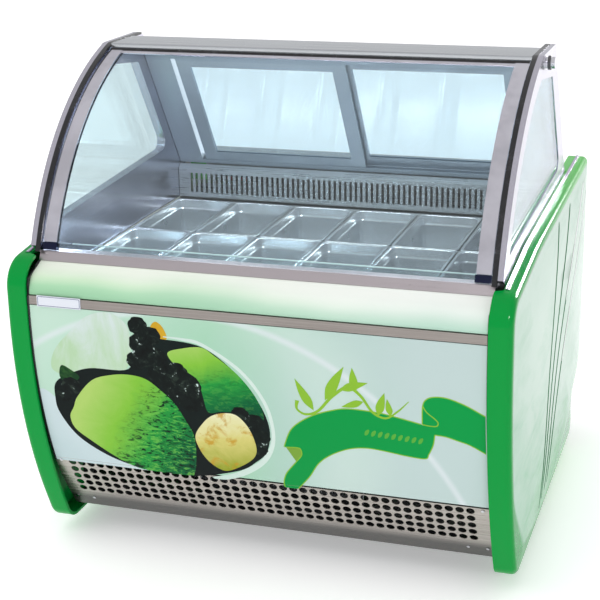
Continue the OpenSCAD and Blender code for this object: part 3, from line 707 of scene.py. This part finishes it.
def inset(points, d):
    before = np.roll(points, 1, axis=0)
    after = np.roll(points, -1, axis=0)
    moved = []
    for a, p, b in zip(before, points, after):
        u, v = unit(p - a), unit(b - p)
        w = unit(np.array((-u[1] - v[1], u[0] + v[0])))
        moved.append(p - w * d / (w @ np.array((-u[1], u[0]))))
    return np.array(moved)


PANEL_EDGE = rounded_outline(OUTLINE, 12)
FACE_EDGE = inset(PANEL_EDGE, RIM_ROUND)


def rise(share):
    """How far the face stands past the rim; share is 0 in the middle and 1 at the face's edge."""
    return DOME * math.sin(math.pi / 2 * (1 - share * share))


def face_share(y, z):
    """The share at a point of the face, from the ray out of the face's middle to its edge."""
    p = np.array((y, z)) - FACE_MIDDLE
    for a, b in zip(FACE_EDGE, np.roll(FACE_EDGE, -1, axis=0)):
        ray = np.array(((p[0], a[0] - b[0]), (p[1], a[1] - b[1])))
        if abs(np.linalg.det(ray)) < 1e-12:
            continue
        t, s = np.linalg.solve(ray, a - FACE_MIDDLE)
        if t > 0 and -1e-6 <= s <= 1 + 1e-6:
            return 1 / t
    return 0.0


def face_x(y, z):
    return RIM_X + rise(min(face_share(y, z), 1.0))


def side_moulding(side, material):
    node = f"side_panel_{side}"
    sign = 1 if side == "right" else -1
    size = len(PANEL_EDGE)
    rings, into = [], []
    inner_x = [0.565 if -0.525 < y < 0.405 and z > 0.7 else 0.547 for y, z in PANEL_EDGE]

    def ring(points, xs, depth):
        rings.append([(sign * x, y, z) for (y, z), x in zip(points, xs)])
        into.append(depth)

    lining = inset(PANEL_EDGE, PANEL_SKIN)
    ring(lining, [RIM_X - PANEL_SKIN] * size, 0.0)
    ring(lining, inner_x, 0.0)
    ring(inset(PANEL_EDGE, 0.001), inner_x, 0.0)
    ring(PANEL_EDGE, [x + 0.001 for x in inner_x], 0.0)
    for x_step in (0.35, 0.7):
        ring(PANEL_EDGE, [x + (RIM_X - RIM_ROUND - x) * x_step for x in inner_x], 0.0)
    for i in range(9):
        a = math.radians(90 * i / 8)
        ring(inset(PANEL_EDGE, RIM_ROUND * (1 - math.cos(a))),
            [RIM_X - RIM_ROUND + RIM_ROUND * math.sin(a)] * size, RIM_ROUND * i / 8)
    for share in (0.985, 0.97, 0.955, 0.94, 0.92, 0.9, 0.87, 0.84, 0.8, 0.75, 0.7, 0.6, 0.5, 0.4, 0.3, 0.2,
            0.1):
        ring(FACE_MIDDLE + (FACE_EDGE - FACE_MIDDLE) * share, [RIM_X + rise(share)] * size,
            RIM_ROUND + 0.4 * (1 - share))
    verts = [p for r in rings for p in r]
    faces = ring_faces(len(rings), size)
    last = (len(rings) - 1) * size
    tip = len(verts)
    verts.append((sign * (RIM_X + DOME), *FACE_MIDDLE))
    faces += [(last + i, last + (i + 1) % size, tip) for i in range(size)]
    faces.append(tuple(range(size)))
    mesh = bpy.data.meshes.new(f"moulding_{side}")
    mesh.from_pydata(verts, [], faces)
    depth = mesh.attributes.new("into", "FLOAT", "POINT")
    depth.data.foreach_set("value", np.array([d for d in into for _ in range(size)] + [0.42], np.float32))
    finish_mesh(mesh, 40.0)
    mesh.materials.append(material)
    piece = put(f"moulding_{side}", mesh)
    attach(piece, "cabinet")
    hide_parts(node)


# -------- printed artwork on the graphic panel

GRAPHIC_MIDDLE = (0.545, 0.650)
GRAPHIC_R = 1.132
GRAPHIC_LOW = 0.2385
GRAPHIC_SIDE = 0.5435


def on_graphic(x, z, lift):
    """A point of the curved panel, stood off by lift."""
    y = GRAPHIC_MIDDLE[0] - math.sqrt((GRAPHIC_R + lift) ** 2 - (z - GRAPHIC_MIDDLE[1]) ** 2)
    return (x, y, z)


def smooth_path(points, closed=False, steps=7):
    """A curve through the points; a point given twice keeps its corner."""
    points = [Vector(p) for p in points]
    count = len(points)
    out = []
    for i in range(count if closed else count - 1):
        if closed:
            a, b, c, d = (points[(i + k) % count] for k in (-1, 0, 1, 2))
        else:
            a, b, c, d = points[max(i - 1, 0)], points[i], points[i + 1], points[min(i + 2, count - 1)]
        if (b - c).length < 1e-9:
            continue
        for k in range(steps):
            t = k / steps
            bend = 2 * a - 5 * b + 4 * c - d + t * (3 * (b - c) + d - a)
            out.append(b + 0.5 * t * (c - a + t * bend))
    if not closed:
        out.append(points[-1])
    return out


def decal(name, outline, lift, material, slot="panel_graphic"):
    """A thin printed film on the graphic panel, its outline in millimetres of width and height."""
    lift *= MM
    outline = [(min(max(p[0] * MM, -GRAPHIC_SIDE), GRAPHIC_SIDE), max(p[1] * MM, GRAPHIC_LOW))
        for p in smooth_path(outline, closed=True)]
    flat = []
    for p in outline:
        if not flat or math.dist(p, flat[-1]) > 1e-4:
            flat.append(p)
    count = len(flat)
    xs, zs = zip(*flat)
    grid = 0.012
    inner = [(x, z) for x in np.arange(min(xs), max(xs), grid) for z in np.arange(min(zs), max(zs), grid)]
    points = [Vector(p) for p in flat + inner]
    verts, _, faces, *_ = delaunay_2d_cdt(points, [], [list(range(count))], 1, 1e-6)
    rim = {}
    for face in faces:
        for a, b in zip(face, face[1:] + face[:1]):
            rim[(a, b)] = rim.get((a, b), 0) + 1
    solid = [on_graphic(x, z, lift) for x, z in verts]
    under = {}
    skirt = []
    for a, b in rim:
        if (b, a) in rim:
            continue
        for v in (a, b):
            if v not in under:
                under[v] = len(solid)
                solid.append(on_graphic(*verts[v], FILM_FOOT * MM))
        skirt.append((b, a, under[a], under[b]))
    return new_piece(name, solid, [list(f) for f in faces] + skirt, material, slot)


def line_sections(path, widths, lift, place, under):
    """Four corners across a line at every point of its path; place puts them on a surface."""
    verts = []
    last = len(path) - 1
    for i, p in enumerate(path):
        along = (path[min(i + 1, last)] - path[max(i - 1, 0)]).normalized()
        aside = Vector((-along.y, along.x)) * float(np.interp(i / last, *widths)) * MM / 2
        for q, height in ((p + aside, under), (p + aside, lift), (p - aside, lift), (p - aside, under)):
            verts.append(place(q, height * MM))
    return verts


def stroke(name, path, widths, lift, material, slot="panel_graphic"):
    """A line of changing width along a curve on the graphic panel."""
    def place(q, height):
        x = min(max(q.x, -GRAPHIC_SIDE), GRAPHIC_SIDE)
        return on_graphic(x, max(q.y, GRAPHIC_LOW), height)

    path = smooth_path([(x * MM, z * MM) for x, z in path], steps=8)
    verts = line_sections(path, widths, lift, place, FILM_FOOT)
    return new_piece(name, verts, ring_faces(len(path), 4, closed=False), material, slot)


def print_ramp(name, direction, stops, blotch=0.0, scale=18.0, stretch=(1, 1, 1)):
    """Ink that changes along (x share, z share, offset), broken up by soft blotches."""
    s = glossy_print(name)
    x, _, z = s.axes()
    along = s.plus(s.times(x, direction[0]), s.times(z, direction[1]))
    along = s.plus(along, direction[2])
    cloud = s.times(s.minus(s.noise(scale, 5.0, stretch, 0.65, 0.6), 0.5), blotch)
    s.set("Base Color", s.ramp(s.plus(along, cloud, clamp=True), *stops))
    return s


def scoop_ink(name, direction, ridge_share):
    """Ice cream print: pale where the light falls, deep green with dark crevices in shade."""
    s = print_ramp(name, direction, ((0.0, 176, 208, 110), (0.3, 132, 194, 62), (0.55, 36, 152, 62),
        (0.85, 0, 96, 54), (1.0, 4, 58, 40)), 0.28, 12.0)
    x, _, z = s.axes()
    along = s.plus(s.plus(s.times(x, direction[0]), s.times(z, direction[1])), direction[2])
    ridges = s.add("ShaderNodeTexNoise", {"Vector": s.coords((1, 1, 2.6), (0, 0.5, 0)), "Scale": 42.0,
        "Detail": 5.0, "Roughness": 0.68, "Distortion": 0.9}).outputs["Fac"]
    crack = s.times(s.span(ridges, 0.53, 0.6), s.span(along, 0.26, 0.5, 0.0, ridge_share))
    shine = s.times(s.span(ridges, 0.47, 0.4), s.span(along, 0.22, 0.5, 0.0, ridge_share * 0.55))
    base = s.bsdf.inputs["Base Color"].links[0].from_socket
    s.colour(crack, s.mix(shine, base, srgb(120, 200, 80)), srgb(6, 40, 24))
    return s.material


def berry_ink():
    s = glossy_print("berry_ink")
    lumps = s.noise(46.0, 4.0, (1, 1, 1), 0.6, 0.5)
    spots = s.noise(95.0, 3.0, (1, 1, 1), 0.6, 0.3)
    dark = s.ramp(lumps, (0.3, 6, 10, 10), (0.55, 14, 24, 22), (0.72, 44, 56, 48))
    s.colour(s.span(s.times(spots, lumps), 0.37, 0.43), dark, srgb(206, 226, 222))
    return s.material


def cream_ink():
    s = print_ramp("cream_ink", (0.6, -3.4, 1.72), ((0.2, 236, 234, 192), (0.45, 214, 204, 120),
        (0.75, 150, 160, 44)), 0.35, 16.0)
    brown = s.noise(20.0, 4.0, (1, 1, 1), 0.6, 0.7)
    base = s.bsdf.inputs["Base Color"].links[0].from_socket
    s.colour(s.span(brown, 0.55, 0.68, 0.0, 0.85), base, srgb(196, 150, 44))
    return s.material


def wobble(middle, radii, lumps, depth, phase=0.0, count=26):
    """A lumpy oval as outline points."""
    points = []
    for i in range(count):
        a = 2 * math.pi * i / count
        r = 1 + depth * math.sin(lumps * a + phase) + depth * 0.5 * math.sin((2 * lumps + 1) * a)
        points.append((middle[0] + radii[0] * r * math.cos(a), middle[1] + radii[1] * r * math.sin(a)))
    return points


def ink(*values):
    return print_ramp(*values).material


def artwork():
    milk = ink("milk_ink", (0.5, 1.2, -0.25), ((0.1, 184, 214, 176), (0.4, 212, 226, 222),
        (0.8, 226, 232, 238)), 0.9, 9.0, (1.6, 1, 0.7))
    bowl = ink("bowl_ink", (1.2, 1.4, 0.35), ((0.1, 196, 214, 218), (0.6, 216, 228, 232),
        (1.0, 232, 238, 240)), 0.3, 5.0)
    dark = ink("well_ink", (0.4, 1.2, -0.3), ((0.0, 10, 20, 20), (0.5, 16, 30, 28), (0.9, 28, 52, 44)), 0.4)
    rim = ink("rim_ink", (1.2, 0.5, 0.2), ((0.0, 196, 222, 210), (0.5, 216, 232, 224),
        (0.9, 232, 240, 236)), 0.3)
    green = ink("ribbon_ink", (0.3, 0.4, 0.2), ((0.0, 0, 146, 66), (0.6, 0, 154, 70), (1.0, 4, 160, 76)),
        0.2, 6.0)
    lime = ink("lime_ink", (0.3, 0.4, 0.2), ((0.0, 134, 184, 50), (0.6, 142, 190, 56), (1.0, 150, 196, 64)),
        0.2, 8.0)
    olive = ink("fold_ink", (0.3, 0.4, 0.2), ((0.0, 118, 158, 58), (1.0, 134, 172, 66)), 0.2, 8.0)
    pale = ink("ornament_ink", (0.3, 0.4, 0.2), ((0.0, 84, 166, 60), (1.0, 100, 180, 66)), 0.2, 8.0)
    yellow = ink("fruit_ink", (2.0, 2.0, -0.8), ((0.0, 206, 160, 40), (0.6, 232, 200, 70)), 0.5)
    leaf = ink("leaf_ink", (1.0, 3.0, -1.0), ((0.0, 20, 60, 30), (0.6, 90, 150, 70)), 0.8)
    berry = berry_ink()

    decal("art_bowl_side", [(-543, 446), (-503, 430), (-499, 388), (-464, 324), (-403, 277), (-337, 250),
        (-290, 239), (-420, 239), (-543, 239), (-543, 340)], 0.10, bowl)
    decal("art_milk", [(-470, 494), (-500, 512), (-486, 560), (-440, 612), (-396, 652), (-340, 666),
        (-296, 640), (-288, 590), (-298, 540), (-330, 505), (-400, 480)], 0.16, milk)
    decal("art_fruit", [(-240, 610), (-236, 640), (-222, 654), (-204, 640), (-198, 612)], 0.16, yellow)
    decal("art_bowl_inside", [(-503, 430), (-496, 470), (-462, 496), (-400, 520), (-300, 528), (-282, 590),
        (-270, 612), (-213, 613), (-108, 601), (-25, 538), (21, 470), (39, 404), (26, 342), (-6, 306),
        (-56, 272), (-171, 239), (-265, 239), (-337, 250), (-403, 277), (-464, 324), (-499, 388)], 0.22,
        dark)
    stroke("art_bowl_rim", [(-205, 619), (-160, 617), (-108, 607), (-20, 551), (32, 478), (47, 406),
        (38, 352), (6, 304), (-58, 260), (-125, 237)], ((0, 0.15, 0.6, 0.85, 1), (2, 8, 9, 16, 12)), 0.26,
        rim)
    decal("art_leaf", [(-482, 492), (-474, 520), (-452, 512), (-430, 494), (-446, 478), (-470, 474)], 0.28,
        leaf)
    decal("art_scoop_back", [(-197, 579), (-161, 594), (-112, 601), (-79, 582), (-46, 558), (-17, 530),
        (10, 492), (27, 450), (22, 420), (-10, 425), (-40, 440), (-78, 439), (-109, 435), (-118, 477),
        (-126, 515), (-148, 534), (-178, 549)], 0.30, scoop_ink("back_scoop_ink", (1.1, -4.2, 2.78), 0.25))
    for i, (x, z, r) in enumerate(((-268, 640, 24), (-236, 618, 24), (-262, 596, 30), (-276, 552, 26),
            (-232, 560, 34), (-222, 520, 30), (-180, 530, 30), (-190, 488, 28), (-150, 500, 30),
            (-150, 458, 30), (-455, 466, 26), (-478, 440, 20), (-30, 438, 22), (4, 420, 24), (14, 380, 24),
            (8, 346, 20))):
        decal(f"art_berry_{i + 1}", wobble((x, z), (r, r * 0.92), 7, 0.035, i), 0.34 + 0.004 * i, berry)
    decal("art_cream_ball", [(-150, 365), (-126, 403), (-101, 426), (-69, 437), (-39, 434), (-15, 407),
        (-2, 369), (-2, 333), (-24, 304), (-74, 272), (-101, 271), (-129, 294), (-146, 329)], 0.42,
        cream_ink())
    decal("art_scoop_front", [(-442, 440), (-397, 489), (-344, 508), (-298, 513), (-258, 506), (-225, 482),
        (-192, 449), (-171, 408), (-154, 364), (-157, 306), (-171, 250), (-190, 239), (-290, 239),
        (-337, 250), (-379, 275), (-428, 312), (-465, 345), (-472, 380), (-458, 408)], 0.46,
        scoop_ink("front_scoop_ink", (2.6, -1.5, 1.75), 1.0))

    tail = [(88, 239), (56, 239), (56, 258), (67, 285), (95, 322), (95, 322), (110, 343), (109, 362),
        (109, 362), (72, 361), (72, 369), (94, 416), (140, 453)]
    band = [(192, 475), (233, 484), (299, 482), (339, 476), (398, 464), (429, 440), (429, 440), (424, 412),
        (413, 386), (404, 373), (360, 375), (307, 382), (267, 384), (226, 376), (183, 354), (150, 325),
        (123, 282)]
    fold = [(401, 464), (401, 464), (403, 511), (413, 529), (431, 536), (456, 536), (482, 529), (509, 518),
        (543, 500), (543, 500), (543, 404), (543, 404), (507, 423), (480, 431), (454, 438), (429, 440)]
    decal("art_ribbon", tail + band, 0.14, green)
    decal("art_ribbon_fold", fold, 0.16, green)
    decal("art_ribbon_turn", [(74, 361), (74, 361), (109, 363), (109, 363), (110, 343), (95, 322),
        (95, 322)], 0.20, olive)
    turn_line = [(403, 511), (412, 496), (430, 481), (437, 472), (433, 463), (416, 462), (401, 464)]
    end_line = [(74, 361), (100, 363), (109, 360), (110, 343), (95, 322), (67, 285), (56, 256), (57, 240)]
    edges = (tail[9:] + band[:5], band[6:] + [(90, 240)], fold[1:9], turn_line, fold[:10:-1], end_line)
    for i, edge in enumerate(edges):
        stroke(f"art_ribbon_edge_{i + 1}", edge, ((0, 1), (2.4, 2.4)), 0.24, lime)

    stem = [(112, 492), (110, 470), (130, 458), (160, 470), (196, 512), (232, 538), (262, 520), (288, 482),
        (318, 470), (346, 490), (372, 518)]
    stroke("art_sprig_stem", stem, ((0, 0.1, 0.5, 0.9, 1), (10, 5, 8, 4, 1.5)), 0.30, lime)
    for i, (x, z, length, width, turn) in enumerate(((150, 470, 88, 26, 118), (178, 500, 100, 30, 62),
            (214, 530, 70, 24, 20), (250, 528, 60, 24, 96), (268, 506, 56, 20, 200), (300, 474, 62, 24, 74),
            (330, 476, 44, 18, 100))):
        c, d = math.cos(math.radians(turn)), math.sin(math.radians(turn))
        blade = [(0, 0), (0, 0), (0.3, 0.42), (0.62, 0.36), (1, 0), (1, 0), (0.6, -0.3), (0.28, -0.38)]
        decal(f"art_sprig_leaf_{i + 1}", [(x + length * a * c - width * b * d,
            z + length * a * d + width * b * c) for a, b in blade], 0.30 + 0.01 * i, lime)
    for i in range(9):
        x, z = 272 + 15.5 * i, 426 - 0.9 * i
        decal(f"art_ornament_{i + 1}", [(x - 5, z - 7), (x - 4, z + 3), (x + 3, z + 9), (x + 6, z + 6),
            (x + 2, z - 4)], 0.26, pale)


# -------- small pieces


def strip_on_face(name, side, path, widths, material, lift=0.35):
    """A thin line on a side moulding's face, its path given as depth and height in millimetres."""
    def place(q, height):
        return (sign * (face_x(q.x, q.y) + height), q.x, q.y)

    sign = 1 if side == "right" else -1
    path = smooth_path([(y * MM, z * MM) for y, z in path], steps=10)
    verts = line_sections(path, widths, lift, place, -0.1)
    faces = ring_faces(len(path), 4, closed=False)
    return new_piece(f"{name}_{side}", verts, faces, material, "moulding_green")


def printed_line(name, colour):
    s = Shader(name, Roughness=0.7, Specular_IOR_Level=0.02)
    s.colour(s.noise(60.0), colour, shade(colour, 0.8))
    return s.material


def pinstripes():
    dark = printed_line("stripe_green", srgb(0, 104, 52))
    white = printed_line("stripe_white", srgb(250, 252, 251))
    seam = printed_line("seam_line", srgb(240, 246, 242))
    tracks = (((35, 780), (-10, 700), (-55, 605), (-105, 440), (-136, 260), (-147, 86)),
        ((224, 780), (135, 685), (40, 575), (-45, 430), (-98, 270), (-123, 101)), ((473, 777), (300, 665),
        (136, 544), (20, 410), (-50, 260), (-78, 104)), ((560, 740), (400, 630), (238, 511), (100, 390),
        (0, 250), (-45, 111)))
    for side in ("left", "right"):
        for i, track in enumerate(tracks):
            strip_on_face(f"pinstripe_{i + 1}", side, track, ((0, 0.04, 0.9, 1), (4, 11, 11, 4)), dark)
        strip_on_face("pinstripe_light_3", side, tracks[2][:3], ((0, 0.05, 0.9, 1), (4, 11.6, 11.4, 3)),
            white, 0.5)
        strip_on_face("pinstripe_light_4", side, tracks[3][:4], ((0, 0.05, 0.9, 1), (4, 11.6, 11.4, 3)),
            white, 0.5)
        strip_on_face("rear_crease", side, ((428, 172), (330, 120), (200, 88), (60, 66)),
            ((0, 0.3, 1), (1.0, 2.4, 0.8)), seam)


def lathe_x(name, middle, profile, material, slot, count=72):
    """A turned piece about a line along the width; the profile gives (along, radius) in millimetres."""
    verts = []
    for along, radius in profile:
        for i in range(count):
            a = 2 * math.pi * i / count
            verts.append((middle[0] + along * MM, middle[1] + radius * MM * math.cos(a),
                middle[2] + radius * MM * math.sin(a)))
    return new_piece(name, verts, ring_faces(len(profile), count), material, slot)


def knob_grips():
    lo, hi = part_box("canopy_knobs")
    y, z = (lo.y + hi.y) / 2, (lo.z + hi.z) / 2
    grip = rubber("knob_grip", (0.006, 0.006, 0.007), 0.3)
    for side, sign in (("left", -1), ("right", 1)):
        profile = [(-16.9, 13.9), (-16.9, 16.4), (-16.3, 17.0), (-15.6, 17.25)]
        for i in range(8):
            profile.append((-15.4 + 0.6 * i, 17.25 - 0.3 * (i % 2)))
        profile += [(-10.4, 17.25), (-9.8, 17.0), (-9.2, 16.4), (-9.2, 13.9)]
        lathe_x(f"knob_grip_{side}", (sign * hi.x, y, z), [(sign * a, r) for a, r in profile], grip,
            "gasket_rubber")


def lamp_diffuser():
    lo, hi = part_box("work_lamp")
    s = Shader("lamp_diffuser", Roughness=0.5, Transmission_Weight=0.15)
    s.colour(s.noise(40.0), srgb(236, 242, 246), srgb(222, 230, 238))
    wave = 0.0006
    x0, x1, y0, y1, z = -0.464, 0.464, -0.014, 0.054, lo.z - wave
    cells, ribs = 696, 8
    verts, faces = [], []
    for i in range(cells + 1):
        x = x0 + (x1 - x0) * i / cells
        for j in range(ribs + 1):
            verts.append((x, y0 + (y1 - y0) * j / ribs, z + wave * math.sin(i * math.pi / 3)))
    for i in range(cells):
        for j in range(ribs):
            a = i * (ribs + 1) + j
            faces.append((a, a + 1, a + ribs + 2, a + ribs + 1))
    new_piece("lamp_diffuser", verts, faces, s.material, "lamp_housing", 60.0)


def hinge_cover():
    """Black sleeve round the front of the glass's top rail."""
    y, z = -0.072, 1.1885
    outer, inner = 0.0051, 0.0042
    verts = []
    turn = [math.radians(40 + 200 * i / 24) for i in range(25)]
    for x in (-0.535, -0.25, 0.25, 0.535):
        for a in turn:
            verts.append((x, y + outer * math.cos(a), z + outer * math.sin(a)))
        for a in reversed(turn):
            verts.append((x, y + inner * math.cos(a), z + inner * math.sin(a)))
    size = 2 * len(turn)
    new_piece("hinge_cover", verts, capped(4, size), gasket, "gasket_rubber", body="glass_front")


def top_trims():
    """Rounded bright strip bedded in each moulding's top edge, with a thin dark joint on both sides."""
    edge = smooth_path([(-0.5205, 0.7755), (-0.47, 0.7812), (-0.36, 0.7936), (-0.25, 0.8050), (0.0, 0.8122),
        (0.25, 0.8190), (0.565, 0.8283)], steps=8)
    bright = polished_metal("trim_strip", srgb(206, 202, 222), 0.16)
    joint = rubber("trim_joint", (0.01, 0.016, 0.012), 0.4)
    for side, sign in (("left", -1), ("right", 1)):
        for name, x0, x1, high, material, slot in (("trim_strip", 0.5690, 0.5768, 0.0030, bright,
                "bright_trim"), ("trim_joint", 0.5676, 0.5782, 0.0008, joint, "gasket_rubber")):
            verts = []
            for p in edge:
                for i in range(9):
                    a = math.pi * i / 8
                    x = (x0 + x1) / 2 - (x1 - x0) / 2 * math.cos(a)
                    verts.append((sign * x, p.x, p.y + high * math.sin(a) ** 0.5 - 0.0004))
            piece = new_piece(f"{name}_{side}", verts, capped(len(edge), 9), material, slot)
            if slot == "bright_trim":
                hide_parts("side_trims")


def edge_seams():
    """Dark joint between each moulding and the front panels."""
    low = [(GRAPHIC_MIDDLE[0] - math.sqrt((GRAPHIC_R + 0.0012) ** 2 - (z - GRAPHIC_MIDDLE[1]) ** 2), z)
        for z in np.linspace(0.24, 0.668, 22)]
    path = low + [(-0.5888, 0.673), (-0.5888, 0.690), (-0.5858, 0.697), (-0.5858, 0.715), (-0.581, 0.732),
        (-0.566, 0.7395), (-0.516, 0.7568)]
    deep, curve, bevel = 0.008, 0.0003, 0.0004
    for side, x0, x1 in (("left", -0.5469, -0.5412), ("right", 0.5449, 0.5469)):
        verts = []
        for y, z in path:
            verts += [(x0, y + deep, z), (x0, y + curve, z), (x0 + bevel, y, z), (x1 - bevel, y, z),
                (x1, y + curve, z), (x1, y + deep, z)]
        new_piece(f"edge_seam_{side}", verts, capped(len(path), 6), gasket, "gasket_rubber")


def guard_edge():
    """Ground top edge of the low glass air guard."""
    lo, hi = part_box("front_air_guard")
    s = Shader("guard_edge", Roughness=0.3)
    s.colour(s.noise(30.0), srgb(206, 232, 228), srgb(230, 244, 242))
    verts, ground = [], 0.0012
    y, r = (lo.y + hi.y) / 2, (hi.y - lo.y) / 2 + 0.0004
    stations = np.linspace(lo.x + 0.001, hi.x - 0.001, 9)
    for x in stations:
        for i in range(13):
            a = math.pi * i / 12
            verts.append((x, y + r * math.cos(a), hi.z - ground + 2 * ground * math.sin(a)))
    new_piece("guard_edge", verts, capped(len(stations), 13), s.material, "clear_glass")


def nameplate_border():
    lo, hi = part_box("nameplate")
    line = moulded_plastic("plate_border", srgb(70, 84, 130), 0.35)
    x, z = (lo.x + hi.x) / 2, (lo.z + hi.z) / 2
    w, h = hi.x - lo.x - 0.004, hi.z - lo.z - 0.004
    rings = []
    for shrink, y in ((0, 0.0), (0, -0.0003), (0.0022, -0.0003), (0.0022, 0.0)):
        rings += [(x + a, lo.y + y, z + b) for a, b in round_rect(w - shrink, h - shrink,
            0.003 - shrink / 2)]
    size = len(rings) // 4
    new_piece("nameplate_border", rings, ring_faces(4, size), line, "plate_silver")


# -------- build

photo_camera()
studio()
dress_cad()
soften_bends()
pans()
moulding = moulding_green()
side_moulding("left", moulding)
side_moulding("right", moulding)
artwork()
pinstripes()
knob_grips()
lamp_diffuser()
hinge_cover()
nameplate_border()
top_trims()
edge_seams()
guard_edge()
